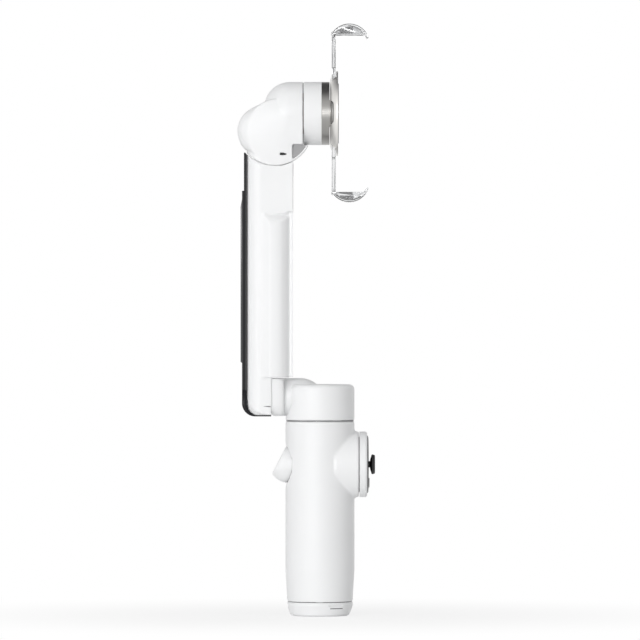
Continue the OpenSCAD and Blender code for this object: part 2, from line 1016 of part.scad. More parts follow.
// Rounded rib on the near face, with its upper end sloped down to the face
module arm_rib() {
    crest = -arm_near - rib_h;
    corner = 4.5;
    slope_r = 9;
    high = rib_low + rib_l;
    intersection() {
        translate([0, 0, rib_low])
            linear_extrude(height = rib_l)
                rib_section();
        side_plate(crest - over, over)
            union() {
                translate([rib_right - rib_w, rib_low])
                    square([rib_w, rib_l - corner]);
                translate([rib_right - rib_w + corner, rib_low])
                    square([rib_w - 2 * corner, rib_l]);
                for (x = [rib_right - rib_w + corner, rib_right - corner])
                    translate([x, high - corner])
                        circle(r = corner);
            }
        union() {
            translate([rib_right - rib_w - over, crest - over, rib_low])
                cube([rib_w + 2 * over, arm_near, rib_l - slope_r]);
            translate([0, crest + slope_r, high - slope_r])
                rod_along_x(slope_r, rib_right - rib_w - over, rib_right + over);
        }
    }
}

module arm_shell() {
    top = tilt_z - 4;
    recess_x = trigger_tip_x - 0.7;
    color("white")
        difference() {
            union() {
                difference() {
                    intersection() {
                        translate([0, 0, arm_base - over])
                            linear_extrude(height = top - arm_base + 2 * over)
                                arm_section();
                        side_plate(-arm_near - over, arm_far + over)
                            arm_outline(top);
                    }
                    at_tilt()
                        rod_along_y(arm_clear_r, -arm_near - over, arm_far + over);
                    translate([0, 0, elbow_top])
                        cylinder(r = spine_in, h = cradle_top - elbow_top);
                    translate([-spine_in, -arm_near / 2, elbow_top])
                        cube([spine_in, arm_near + arm_far, cradle_top - elbow_top]);
                    translate([recess_x, -trigger_r - 1, fold_z + 12.5])
                        cube([spine_in, arm_near + arm_far, 33.5]);
                    translate([rib_right - rib_roll, -arm_near - over, rib_low - over])
                        cube([rib_w, over + ledge_y + arm_near, rib_l + over - rib_roll]);
                }
                arm_rib();
                translate([tilt_x - neck_half, gap, tilt_z - arm_clear_r - 2])
                    cube([2 * neck_half, arm_far - gap, arm_clear_r + 2]);
                at_tilt()
                    rod_along_y(hub_r, gap, arm_far);
            }
            translate([rod_x, 0, fold_z])
                cylinder(r = rod_bore_r, h = rod_top - fold_z + fit);
            at_fold()
                rod_along_x(stub_r + gap, -stub_x - gap, 0);
            translate([-stub_x - gap, -stub_r - gap, arm_base - over])
                cube([stub_x, 2 * (stub_r + gap), fold_z - arm_base + over]);
            translate([rod_x, 0, fold_z])
                cylinder(r = rod_bore_r, h = stub_r + 2);
            at_tilt() {
                rod_along_y(tilt_bearing_r + fit, gap - over, arm_far - 3);
                rod_along_y(hub_r - 1.4, arm_far - 1.2, arm_far + over);
                rod_along_y(tilt_shaft_r + 0.6, gap, arm_far + over);
            }
        }
}

module cover_outline(out, low_r) {
    left = -arm_out - out;
    bottom = fold_z - elbow_r;
    union() {
        translate([left + low_r, bottom])
            square([arm_out + out, 160]);
        translate([left, bottom + low_r])
            square([arm_out + out, 160]);
        translate([left + low_r, bottom + low_r])
            circle(r = low_r);
    }
}

module arm_cover() {
    top = tilt_z - 12.25;
    color("black")
        difference() {
            intersection() {
                side_plate(-cover_half, cover_half)
                    difference() {
                        intersection() {
                            cover_outline(cover_t, corner_r + 2);
                            translate([-arm_out - cover_t, fold_z - elbow_r])
                                square([cover_t + 5, top - fold_z + elbow_r]);
                        }
                        translate([0.02, 0])
                            arm_outline(top + over);
                        translate([-arm_out - cover_t - over, top - 19])
                            square([over + 1, 30]);
                    }
                translate([-arm_out - cover_t + 3, 0, 0])
                    linear_extrude(height = 2 * tilt_z)
                        union() {
                            square([6, 2 * cover_half - 6], center = true);
                            translate([3, 0])
                                square([6, 2 * cover_half], center = true);
                            for (side = [-1, 1])
                                translate([0, side * (cover_half - 3)])
                                    circle(r = 3);
                        }
            }
            linear_extrude(height = 2 * tilt_z)
                arm_section_grown(0.02);
            at_tilt()
                rod_along_y(arm_clear_r, -arm_near, arm_far);
        }
}

module arm_section_grown(grow) {
    left = -arm_out - grow;
    r = arm_round + grow;
    intersection() {
        translate([left, -arm_near - grow])
            square([2 * r, arm_near + arm_far + 2 * grow]);
        union() {
            translate([left + r, -arm_near - grow])
                square([2 * r, arm_near + arm_far + 2 * grow]);
            translate([left, -arm_near + arm_round])
                square([2 * r, arm_near + arm_far - 2 * arm_round]);
            for (y = [-arm_near + arm_round, arm_far - arm_round])
                translate([left + r, y])
                    circle(r = r);
        }
    }
}

module arm_inlay() {
    back = -arm_out - cover_t - 0.02;
    low = fold_z + 17;
    high = low + 82;
    color("darkslategray")
        side_plate(-cover_half + 3.2, cover_half - 3.2)
            polygon([
                [back, low],
                [back, high],
                [back - inlay_h, high - 5],
                [back - inlay_h, low + 1]
            ]);
}

// Tilt motor
module tilt_stator() {
    color("peru")
        at_tilt()
            difference() {
                union() {
                    rod_along_y(tilt_stator_r, -tilt_bell_near + 1.2, gap - 0.05);
                    rod_along_y(tilt_bearing_r, gap - 0.06, arm_far - 4);
                }
                rod_along_y(tilt_shaft_r + 0.5, -head_near, arm_far);
                rod_along_y(tilt_bearing_r - 1 + fit, -head_near, -tilt_bell_near + 3.7);
                rod_along_y(tilt_bearing_r - 1 + fit, arm_far - 6.6, arm_far);
                for (slot = [0 : 8])
                    rotate([0, slot * 40, 0])
                        translate([tilt_stator_r - 2.2, -tilt_bell_near, -0.6])
                            cube([4, tilt_bell_near - 1.2, 1.2]);
            }
}

module tilt_bearings() {
    race_r = tilt_bearing_r - 1;
    color("silver")
        at_tilt() {
            ring_along_y(race_r, tilt_shaft_r + fit, -tilt_bell_near + 1.25, -tilt_bell_near + 3.65);
            ring_along_y(race_r, tilt_shaft_r + fit, arm_far - 6.55, arm_far - 4.1);
        }
}

module tilt_hub_cap() {
    color("whitesmoke")
        at_tilt()
            rod_along_y(hub_r - 1.4 - fit, arm_far - 1.15, arm_far);
}

module tilt_shaft() {
    color("silver")
        at_tilt()
            rod_along_y(tilt_shaft_r, -head_near + 1, arm_far - 4.3);
}

module tilt_bell() {
    color("slategray")
        at_tilt()
            difference() {
                rod_along_y(tilt_bell_r - fit, -tilt_bell_near - fit, -0.2);
                rod_along_y(tilt_bell_r - 1.1, -tilt_bell_near + 0.8, over);
                rod_along_y(tilt_shaft_r + fit, -head_near, over);
            }
}

module tilt_magnets() {
    color("darkslategray")
        at_tilt()
            ring_along_y(tilt_bell_r - 1.1 - fit, tilt_stator_r + 0.5, -tilt_bell_near + 1.2, -0.5);
}

// Head
// Left and lower part of the near skin, clear of the turning roll cap
module near_plates() {
    for (step = [0 : 22.5 : 90]) {
        inset = bulge_edge * (1 - cos(step));
        front = -head_near + bulge_edge * (1 - sin(step));
        translate([bulge_x, 0, bulge_z])
            rod_along_y(bulge_r - inset, front, 0);
    }
    for (step = [0 : 45 : 90]) {
        inset = chin_edge * (1 - cos(step));
        front = -head_near + chin_edge * (1 - sin(step));
        intersection() {
            translate([chin_x, 0, chin_z])
                rod_along_y(chin_r - inset, front, 0);
            translate([chin_x - 2 * chin_r, -roll_r, chin_z - 2 * chin_r])
                cube([pocket_left - chin_x + 2 * chin_r, 2 * roll_r, 4 * chin_r]);
        }
    }
}

// Lower near quarter of the roll housing, as discs along its rounded rear end
module roll_quarter() {
    slice = 0.05;
    for (step = [0 : 22.5 : 90]) {
        r = roll_r - slice - dome_round * (1 - sin(step));
        at_roll()
            translate([dome_x + dome_round * (1 - cos(step)), 0, 0])
                rotate([90, 0, 90])
                    linear_extrude(height = step < 90 ? slice : split_x - dome_x - dome_round)
                        intersection() {
                            circle(r = r);
                            translate([-r, -r])
                                square(r);
                        }
    }
}

// Smooth near skin that joins the roll housing, the bulge and the chin
module near_skin() {
    intersection() {
        difference() {
            hull() {
                near_plates();
                roll_quarter();
            }
            translate([pocket_left, -roll_r - over, chin_z - 2 * chin_r])
                cube([chin_r, roll_r + 2 * over, roll_z - roll_r - chin_z + 2 * chin_r]);
        }
        at_tilt()
            rod_along_y(head_turn_r, -roll_r - over, over);
    }
}

// Outline of the chin below the roll housing, drawn in from its edge
module chin_outline(inset) {
    intersection() {
        translate([chin_x, chin_z])
            circle(r = chin_r - inset);
        translate([tilt_x, tilt_z])
            circle(r = head_turn_r - inset);
        translate([pocket_left - over + inset, chin_z - 2 * chin_r])
            square([2 * chin_r, roll_z - roll_r - gap - chin_z + 2 * chin_r]);
    }
}

// Chin plate with the recess of the grey insert
module chin_plate() {
    difference() {
        side_plate(-head_near, 0)
            chin_outline(0);
        side_plate(-head_near - over, -head_near + pocket_depth)
            intersection() {
                chin_outline(pocket_rim);
                translate([pocket_left, chin_z - 2 * chin_r])
                    square(4 * chin_r);
            }
    }
}

// Space that the arm's neck sweeps as the head tilts
module neck_sweep() {
    half = neck_half + gap;
    reach = head_turn_r + 3;
    at_tilt() {
        rod_along_y(hub_r + gap, 0, roll_r + over);
        for (turn = [neck_low, neck_high])
            rotate([0, turn, 0])
                translate([-half, 0, -reach])
                    cube([2 * half, roll_r + over, reach]);
        rotate([-90, 0, 0])
            rotate([0, 0, 90 + neck_low])
                rotate_extrude(angle = neck_high - neck_low)
                    square([reach, roll_r + over]);
    }
}

// Small dark vent in the near skin
module head_vent() {
    side_plate(-roll_r, -tilt_bell_near - vent_floor)
        translate([tilt_x + vent_x, tilt_z - vent_drop])
            polygon([
                [0, 0],
                [vent_w, 0.15],
                [vent_w, 0.6],
                [vent_w / 2, vent_h],
                [0, vent_h]
            ]);
}

module head_shell() {
    color("white")
        difference() {
            union() {
                at_roll()
                    rotate([0, 90, 0])
                        rotate_extrude()
                            plug_outline(roll_r, dome_x, split_x, dome_round);
                near_skin();
                chin_plate();
            }
            neck_sweep();
            at_tilt() {
                rod_along_y(tilt_bell_r, -tilt_bell_near - 2 * fit, over);
                rod_along_y(tilt_shaft_r + fit, -head_near + 1 - fit, over);
            }
            at_roll()
                rod_along_x(roll_seat_r + fit, roll_seat_x - fit, split_x + over);
            head_vent();
        }
}

module pocket_insert() {
    color("gray")
        side_plate(-head_near + pocket_step, -head_near + pocket_depth - fit)
            intersection() {
                chin_outline(pocket_rim + fit);
                translate([pocket_left + fit, chin_z - 2 * chin_r])
                    square(4 * chin_r);
            }
}

// Roll motor
module roll_stator() {
    color("peru")
        at_roll()
            difference() {
                union() {
                    rod_along_x(roll_seat_r, roll_seat_x, split_x - 0.2);
                    rod_along_x(roll_core_r, split_x - 0.3, roll_front - 0.5);
                }
                rod_along_x(roll_bearing_r + fit, roll_seat_x + 0.4, ring_x);
                for (slot = [0 : 11])
                    rotate([slot * 30, 0, 0])
                        translate([cap_x - 0.2, roll_core_r - 2.6, -0.6])
                            cube([roll_front - cap_x, 4, 1.2]);
            }
}

module roll_bearings() {
    color("silver")
        at_roll() {
            ring_along_x(roll_bearing_r, roll_shaft_r + fit, roll_seat_x + 0.45, roll_seat_x + 2.95);
            ring_along_x(roll_bearing_r, roll_shaft_r + fit, roll_front - 3.1, roll_front - 0.6);
        }
}

module roll_cap() {
    color("white")
        at_roll()
            difference() {
                rotate([0, 90, 0])
                    rotate_extrude()
                        polygon([
                            [0, cap_x],
                            [roll_r - 0.3, cap_x],
                            [roll_r, cap_x + 0.3],
                            [roll_r, ring_x - fit],
                            [0, ring_x - fit]
                        ]);
                rod_along_x(roll_core_r + 2.2, cap_x - over, roll_front);
                rod_along_x(roll_shaft_r + fit, cap_x, ring_x + over);
            }
}

module roll_magnets() {
    color("darkslategray")
        at_roll()
            ring_along_x(roll_core_r + 2.2 - fit, roll_core_r + 0.6, cap_x + 0.3, roll_front - 0.3);
}

module roll_shaft() {
    color("silver")
        at_roll()
            rod_along_x(roll_shaft_r, roll_seat_x + 0.7, ring_x + 1.5);
}

// Quick-release mount
// Trapezoid key on two sides of the mount ring, grown by a clearance
module mount_keys(grow) {
    key_x = ring_x + mount_ring_l;
    for (side = [-1, 1])
        translate([0, side * (roll_r - 1.6), 0])
            side_plate(-1.6 - grow, 1.6 + grow)
                polygon([
                    [key_x - 0.5, -key_half - grow],
                    [key_x + key_h + grow, -key_top_half - grow],
                    [key_x + key_h + grow, key_top_half + grow],
                    [key_x - 0.5, key_half + grow]
                ]);
}

module mount_magnet_set(r, front) {
    for (turn = [0 : 60 : 300])
        rotate([turn, 0, 0])
            translate([0, 0, roll_r - 5.2])
                rod_along_x(r, ring_x + 1.6, front);
}

module mount_ring() {
    color("darkgray")
        at_roll()
            difference() {
                union() {
                    rod_along_x(roll_r, ring_x, ring_x + mount_ring_l);
                    intersection() {
                        mount_keys(0);
                        rod_along_x(roll_r - 0.1, ring_x, disc_front);
                    }
                }
                mount_magnet_set(2.5 + fit, ring_x + mount_ring_l + 0.01);
                rod_along_x(roll_shaft_r + fit, ring_x - over, ring_x + 1.6);
            }
}

module mount_magnets() {
    color("silver")
        at_roll()
            mount_magnet_set(2.5, ring_x + mount_ring_l - 0.05);
}

// Phone clamp
module clamp_disc() {
    dish_r = clamp_r - roll_r;
    rim_t = 0.8;
    color("ivory")
        at_roll()
            difference() {
                rotate([0, 90, 0])
                    rotate_extrude()
                        union() {
                            intersection() {
                                translate([roll_r, disc_x + dish_r])
                                    circle(r = dish_r);
                                translate([roll_r - over, disc_x])
                                    square([dish_r + over, clamp_t - fit]);
                            }
                            translate([0, disc_x])
                                square([roll_r, clamp_t - fit]);
                            translate([0, disc_front - rim_t])
                                square([clamp_r, rim_t - fit]);
                        }
                rotate([0, 90, 0])
                    translate([0, 0, plate_x])
                        cylinder(r = clamp_r - 1, h = clamp_t);
                translate([jaw_x - 0.2, -jaw_half - 0.3, -clamp_r - over])
                    cube([jaw_t + 3, 2 * (jaw_half + 0.3), 2 * (clamp_r + over)]);
                mount_keys(gap);
            }
}

module clamp_plate() {
    color("ivory")
        at_roll()
            difference() {
                union() {
                    rod_along_x(clamp_r - 1 - fit, plate_x + fit, disc_front);
                    intersection() {
                        rod_along_x(clamp_r - 0.4, plate_x + fit, disc_front);
                        translate([plate_x, -jaw_half - 0.2, -clamp_r])
                            cube([clamp_t, 2 * (jaw_half + 0.2), 2 * clamp_r]);
                    }
                }
                rod_along_x(pad_r + fit, disc_front - 0.5, disc_front + over);
            }
}

module clamp_pad() {
    color("lightgray")
        at_roll()
            rod_along_x(pad_r, disc_front - 0.45, disc_front - 0.45 + pad_t);
}

// Curved hook of a jaw, seen from the side, for the upper jaw
module hook_outline(r) {
    translate([hook_x, hook_z])
        circle(r = r);
}

module jaw_hook() {
    tip_z = jaw_gap / 2 - 1.6;
    side_z = jaw_gap / 2 + 0.4;
    side_plate(-hook_half, hook_half)
        intersection() {
            difference() {
                hook_outline(hook_r);
                hook_outline(hook_r - hook_wall);
            }
            union() {
                translate([hook_x - hook_r - over, side_z])
                    square([2 * (hook_r + over), hook_r]);
                translate([hook_x, tip_z])
                    square([hook_r + over, hook_r]);
            }
        }
    for (side = [-1, 1])
        translate([0, side * (hook_half - hook_wall / 2), 0])
            side_plate(-hook_wall / 2, hook_wall / 2)
                intersection() {
                    hook_outline(hook_r - hook_wall / 2);
                    translate([hook_x - hook_r - over, side_z])
                        square([2 * (hook_r + over), hook_r + 2 * over]);
                }
}

module jaw_bar(y0, y1, z0, z1) {
    translate([jaw_x, y0, z0])
        cube([jaw_t, y1 - y0, z1 - z0]);
}

module upper_jaw() {
    prong_in = 6.5;
    color("lightcyan")
        at_roll() {
            jaw_hook();
            jaw_bar(-jaw_half, jaw_half, clamp_r + 1.5, jaw_gap / 2 + 1.2);
            for (side = [-1, 1])
                jaw_bar(
                    side > 0 ? prong_in : -jaw_half,
                    side > 0 ? jaw_half : -prong_in,
                    -4, clamp_r + 2
                );
        }
}

module lower_jaw() {
    tongue = 6;
    color("lightcyan")
        at_roll()
            mirror([0, 0, 1]) {
                jaw_hook();
                jaw_bar(-jaw_half, jaw_half, clamp_r + 1.5, jaw_gap / 2 + 1.2);
                jaw_bar(-tongue, tongue, -7, clamp_r + 2);
            }
}

module jaw_pad() {
    side_plate(-hook_half + 2, hook_half - 2)
        intersection() {
            hook_outline(hook_r - hook_wall - fit);
            translate([hook_x - 4.6, jaw_gap / 2 + 2])
                square([6.6, hook_r]);
        }
}

module upper_pad() {
    color("gray")
        at_roll()
            jaw_pad();
}

module lower_pad() {
    color("gray")
        at_roll()
            mirror([0, 0, 1])
                jaw_pad();
}

handle_shell();
handle_chassis();
battery_cell();
main_board();
control_face();
touch_ring();
joystick_socket();
usb_port();
pan_stator();
pan_bearings();
trigger_pin();
trigger();
joystick_yoke();
joystick_cap();
shutter_button();
power_button();
base_cap();
thread_insert();
tripod_hub();
tripod_leg_rear();
tripod_leg_left();
tripod_leg_right();
leg_pins();
pan_housing();
pan_bell();
pan_magnets();
pan_shaft();
fold_pin();
elbow();
rod_post();
rod_tube_1();
rod_tube_2();
arm_shell();
arm_cover();
arm_inlay();
rod_sleeve();
tilt_stator();
tilt_bearings();
tilt_hub_cap();
head_shell();
tilt_bell();
tilt_magnets();
tilt_shaft();
pocket_insert();
roll_stator();
roll_bearings();
roll_cap();
roll_magnets();
roll_shaft();
mount_ring();
mount_magnets();
clamp_disc();
clamp_plate();
clamp_pad();
upper_jaw();
upper_pad();
lower_jaw();
lower_pad();
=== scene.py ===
"""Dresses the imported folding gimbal: finishes, softened housings, clear jaws and a white studio."""
import json
import math
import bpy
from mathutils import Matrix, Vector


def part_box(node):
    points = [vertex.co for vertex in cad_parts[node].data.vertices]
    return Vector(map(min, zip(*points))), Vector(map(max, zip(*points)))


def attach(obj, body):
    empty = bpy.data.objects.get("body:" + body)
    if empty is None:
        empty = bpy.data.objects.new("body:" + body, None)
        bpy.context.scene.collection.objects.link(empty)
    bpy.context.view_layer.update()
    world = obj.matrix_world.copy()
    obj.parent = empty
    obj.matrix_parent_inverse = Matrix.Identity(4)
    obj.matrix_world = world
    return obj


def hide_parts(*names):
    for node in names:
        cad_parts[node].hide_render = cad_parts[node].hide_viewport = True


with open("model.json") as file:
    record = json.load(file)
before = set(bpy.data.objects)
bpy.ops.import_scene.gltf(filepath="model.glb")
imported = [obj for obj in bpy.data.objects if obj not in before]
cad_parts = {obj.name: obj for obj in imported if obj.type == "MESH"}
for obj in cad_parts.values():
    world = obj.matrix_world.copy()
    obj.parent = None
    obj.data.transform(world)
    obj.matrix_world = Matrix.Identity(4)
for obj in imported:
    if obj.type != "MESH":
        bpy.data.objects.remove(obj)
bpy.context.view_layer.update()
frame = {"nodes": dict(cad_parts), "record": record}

from types import SimpleNamespace

import bmesh
import bpy
from bpy.props import FloatProperty, FloatVectorProperty, PointerProperty
from mathutils import Vector

bl_info = {
    "name": "Folding gimbal finish",
    "version": (1, 0, 0),
    "blender": (4, 5, 0),
    "location": "View3D > Sidebar > Gimbal",
    "description": "Finishes and fine forms for a folding hand-held gimbal",
    "category": "Object",
}

MM = 0.001
# Vertices of a CAD mesh that lie closer together than this, in metres, are one
MERGE = 1e-6
RECORD = frame["record"]
SLOTS = {part["node"]: part["material_slot"] for part in RECORD["subparts"]}
BODIES = {node: body for body, nodes in RECORD["behaviour"]["bodies"].items() for node in nodes}
PIVOTS = {joint["name"]: joint["pos_m"] for joint in RECORD["behaviour"]["joints"] if "pos_m" in joint}
TILT_X, _, TILT_Z = PIVOTS["tilt_turn"]
ROLL_Z = PIVOTS["roll_turn"][2]
FOLD_Z = PIVOTS["arm_fold"][2]
ARM_LOW, ARM_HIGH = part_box("arm_shell")
HEAD_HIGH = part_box("head_shell")[1]


def colour(name, description, default):
    """A colour property."""
    return FloatVectorProperty(name=name, description=description, subtype="COLOR", size=3, default=default)


def length(name, description, metres):
    """A length property."""
    return FloatProperty(name=name, description=description, unit="LENGTH", precision=5, default=metres)


def power(name, description, watts):
    """A lamp power property."""
    return FloatProperty(name=name, description=description, unit="POWER", min=0, default=watts)


class GimbalFinish(bpy.types.PropertyGroup):
    """Colours of the finishes"""

    white: colour("White plastic", "Colour of the housings", (0.84, 0.845, 0.85))
    black: colour("Gloss black", "Colour of the back cover and control face", (0.012, 0.012, 0.014))
    inlay: colour("Inlay grey", "Colour of the raised inlay on the back cover", (0.06, 0.062, 0.066))
    # The pocket grey is painted shade: it greys the piece under the roll motor where the pocket lies in
    # shade. The same grey lines the pan seam and fills the arm's slit.
    pocket: colour("Pocket grey", "Colour of the insert under the roll motor", (0.32, 0.32, 0.325))
    ring_metal: colour("Mount ring metal", "Colour of the turned mount ring", (0.33, 0.325, 0.315))
    clamp_metal: colour("Clamp metal", "Colour of the clamp disc", (0.78, 0.765, 0.74))
    clear: colour("Clear plastic", "Tint of the jaws", (0.84, 0.845, 0.85))
    # This colour is painted shade: it darkens the clear hooks' rounded edges and tips in place of the dark
    # edges that clear plastic shows
    smoke: colour("Smoked edge", "Colour of the edges of the jaws' hooks", (0.045, 0.045, 0.047))


class GimbalShape(bpy.types.PropertyGroup):
    """Sizes and places of the fine forms in the object's frame"""

    tilt_x: length("Tilt axis X", "Place of the tilt axis across the object", TILT_X)
    tilt_z: length("Tilt axis Z", "Height of the tilt axis", TILT_Z)
    turn_r: length("Head turning radius", "Radius of the head's skin at the tilt seam", 0.0187)
    head_near: length("Head depth", "From the middle to the head's near face", 0.0128)
    pocket_left: length("Pocket edge", "Left edge of the grey pocket", -0.01375)
    roll_z: length("Roll axis", "Height of the roll axis", ROLL_Z)
    roll_r: length("Roll radius", "Radius of the roll housing", HEAD_HIGH.y)
    split_x: length("Roll seam", "Place of the roll seam", -0.00855)
    arm_left: length("Arm outer edge", "Outer edge of the arm", ARM_LOW.x)
    arm_right: length("Arm inner edge", "Inner edge of the arm", ARM_HIGH.x)
    arm_near: length("Arm depth", "From the middle to the arm's near face", 0.013)
    arm_far: length("Arm far depth", "From the middle to the arm's far face", ARM_HIGH.y)
    arm_round: length("Arm rounding", "Radius of the arm's outer edges", 0.007)
    arm_seam: length("Arm seam", "Place of the seam between arm and elbow", -0.02403)
    rib_low: length("Rib foot", "Height of the rib's lower end", 0.1191)
    rib_l: length("Rib length", "Length of the rolled part of the rib", 0.08245)
    rib_roll: length("Rib roll", "Radius of the rib's inner edge", 0.007)
    rib_roll_x: length("Rib roll X", "Middle of the rib's rolled edge across the object", -0.0219)
    rib_roll_y: length("Rib roll Y", "Middle of the rib's rolled edge in depth", -0.0082)
    heel_x: length("Heel X", "Middle of the arm's rounded lower corner across the object", -0.03235)
    heel_z: length("Heel Z", "Height of the middle of the arm's rounded lower corner", 0.1062)
    heel_r: length("Heel radius", "Radius of the lower corner over its cover", 0.00655)
    tail_back: length("Tail thickness", "Thickness of the cover's tail at the arm's back", 0.0023)
    tail_tip: length("Tail tip", "Thickness of the cover's tail under the arm", 0.0004)
    cover_half: length("Cover half width", "Half width of the gloss back cover", 0.009)
    inlay_half: length("Inlay half width", "Half width of the inlay on the back cover", 0.0058)
    inlay_low: length("Inlay foot", "Height of the inlay's lower end", 0.1263)
    inlay_high: length("Inlay top", "Height of the inlay's upper end", 0.2082)
    socket_left: length("Socket edge", "Outer edge of the elbow's socket in the arm", -0.03415)
    socket_half: length("Socket half width", "Half width of the elbow's socket in the arm", 0.0073)
    fold_z: length("Fold axis", "Height of the fold axis", FOLD_Z)
    inset_left: length("Inset inner edge", "Inner edge of the disc inset", 0.00515)
    inset_right: length("Inset outer edge", "Outer edge of the disc inset", 0.00675)
    inset_half: length("Inset half height", "Half height of the disc inset", 0.0064)
    hook_from: length("Hook start", "Height above the roll axis where a hook starts", 0.0395)
    # Past this place a hook's faces take the painted shade of the jaws' edges
    hook_tip: length("Hook tip", "Where the smoked tip of a hook starts", 0.0213)
    jaw_edge: length("Jaw edge", "Rounding of the jaws' edges", 0.0004)
    foot_r: length("Foot radius", "Radius of the handle at the base seam", 0.0163)
    pan_seam: length("Pan seam", "Height of the seam below the pan cover", 0.0974)
    pan_seam_r: length("Pan seam radius", "Outer radius of the lining in the pan seam", 0.017)
    base_seam: length("Base seam", "Height of the base seam", 0.007)


def in_millimetres(context):
    """The sizes and places of the fine forms as plain numbers in millimetres."""
    group = context.scene.gimbal_shape
    return SimpleNamespace(**{name: getattr(group, name) / MM for name in GimbalShape.__annotations__})


class GimbalStudio(bpy.types.PropertyGroup):
    """Camera and light"""

    distance: length("Camera distance", "From the handle's axis to the camera", 3.5)
    picture_width: length("Picture width", "Width that the picture covers at the handle", 0.32)
    picture_centre: length("Picture centre", "Height of the picture's middle", 0.14775)
    key_power: power("Key lamp", "Power of the broad key lamp", 85.0)
    top_power: power("Top fill", "Power of the soft lamp above", 7.0)
    rim_power: power("Rim lamp", "Power of the soft lamp behind", 30.0)
    room_level: FloatProperty(name="Room light", description="Level of the even room light", subtype="FACTOR",
                              min=0, default=0.4)


# Shader node groups and finishes

# Depth of the fine relief on plastic and metal, in metres
RELIEF = 0.02 * MM


def new_group(name, inputs, outputs):
    """An empty shader group with its sockets: (socket name, type, default)."""
    group = bpy.data.node_groups.new(name, "ShaderNodeTree")
    for label, kind, value in inputs:
        socket = group.interface.new_socket(label, in_out="INPUT", socket_type=kind)
        socket.default_value = value
    for label, kind in outputs:
        group.interface.new_socket(label, in_out="OUTPUT", socket_type=kind)
    start = group.nodes.new("NodeGroupInput")
    end = group.nodes.new("NodeGroupOutput")
    return group, start, end


def add_node(tree, kind, **settings):
    """A node with some of its settings or input values."""
    node = tree.nodes.new(kind)
    for key, value in settings.items():
        if key in node.inputs:
            node.inputs[key].default_value = value
        else:
            setattr(node, key, value)
    return node


def moulded_group():
    """Fine moulding texture: a soft colour drift, a roughness drift and a relief height."""
    group, start, end = new_group(
        "moulded_surface",
        [("Coordinate", "NodeSocketVector", (0, 0, 0)), ("Tint", "NodeSocketColor", (0.8, 0.8, 0.8, 1)),
         ("Drift", "NodeSocketFloat", 0.02), ("Roughness", "NodeSocketFloat", 0.35),
         ("Grain", "NodeSocketFloat", 2600.0)],
        [("Color", "NodeSocketColor"), ("Roughness", "NodeSocketFloat"), ("Height", "NodeSocketFloat")])
    link = group.links.new
    drift = add_node(group, "ShaderNodeTexNoise", Scale=38.0, Detail=3.0)
    grain = add_node(group, "ShaderNodeTexNoise", Detail=2.0)
    link(start.outputs["Coordinate"], drift.inputs["Vector"])
    link(start.outputs["Coordinate"], grain.inputs["Vector"])
    link(start.outputs["Grain"], grain.inputs["Scale"])
    centred = add_node(group, "ShaderNodeMath", operation="SUBTRACT")
    centred.inputs[1].default_value = 0.5
    link(drift.outputs["Fac"], centred.inputs[0])
    scaled = add_node(group, "ShaderNodeMath", operation="MULTIPLY")
    link(centred.outputs[0], scaled.inputs[0])
    link(start.outputs["Drift"], scaled.inputs[1])
    value = add_node(group, "ShaderNodeMath", operation="ADD")
    value.inputs[1].default_value = 1.0
    link(scaled.outputs[0], value.inputs[0])
    tint = add_node(group, "ShaderNodeHueSaturation")
    link(start.outputs["Tint"], tint.inputs["Color"])
    link(value.outputs[0], tint.inputs["Value"])
    link(tint.outputs["Color"], end.inputs["Color"])
    rough = add_node(group, "ShaderNodeMath", operation="MULTIPLY_ADD")
    rough.inputs[1].default_value = 0.08
    link(grain.outputs["Fac"], rough.inputs[0])
    link(start.outputs["Roughness"], rough.inputs[2])
    link(rough.outputs[0], end.inputs["Roughness"])
    link(grain.outputs["Fac"], end.inputs["Height"])
    return group


def turned_group():
    """Turning marks round the roll axis: fine rings as a relief height and a roughness drift."""
    group, start, end = new_group(
        "turned_marks",
        [("Coordinate", "NodeSocketVector", (0, 0, 0)), ("Roughness", "NodeSocketFloat", 0.25),
         ("Pitch", "NodeSocketFloat", 3000.0)],
        [("Roughness", "NodeSocketFloat"), ("Height", "NodeSocketFloat")])
    link = group.links.new
    stretch = add_node(group, "ShaderNodeMapping")
    stretch.inputs["Scale"].default_value = (1.0, 0.02, 0.02)
    marks = add_node(group, "ShaderNodeTexNoise", Detail=4.0)
    link(start.outputs["Coordinate"], stretch.inputs["Vector"])
    link(stretch.outputs["Vector"], marks.inputs["Vector"])
    link(start.outputs["Pitch"], marks.inputs["Scale"])
    rough = add_node(group, "ShaderNodeMath", operation="MULTIPLY_ADD")
    rough.inputs[1].default_value = 0.14
    link(marks.outputs["Fac"], rough.inputs[0])
    link(start.outputs["Roughness"], rough.inputs[2])
    link(rough.outputs[0], end.inputs["Roughness"])
    link(marks.outputs["Fac"], end.inputs["Height"])
    return group


GROUPS = {}


def shared_group(name):
    """One of the shared groups, built on first use."""
    if name not in GROUPS:
        GROUPS[name] = {"moulded": moulded_group, "turned": turned_group}[name]()
    return GROUPS[name]


def new_material(name):
    """A material with its Principled shader and Object coordinates."""
    material = bpy.data.materials.new(name)
    material.use_nodes = True
    tree = material.node_tree
    shader = tree.nodes["Principled BSDF"]
    coordinate = tree.nodes.new("ShaderNodeTexCoord").outputs["Object"]
    return material, tree, shader, coordinate


def relief(tree, shader, height, strength, depth):
    """A bump from a height into the shader's normal."""
    bump = add_node(tree, "ShaderNodeBump", Strength=strength, Distance=depth)
    tree.links.new(height, bump.inputs["Height"])
    tree.links.new(bump.outputs["Normal"], shader.inputs["Normal"])


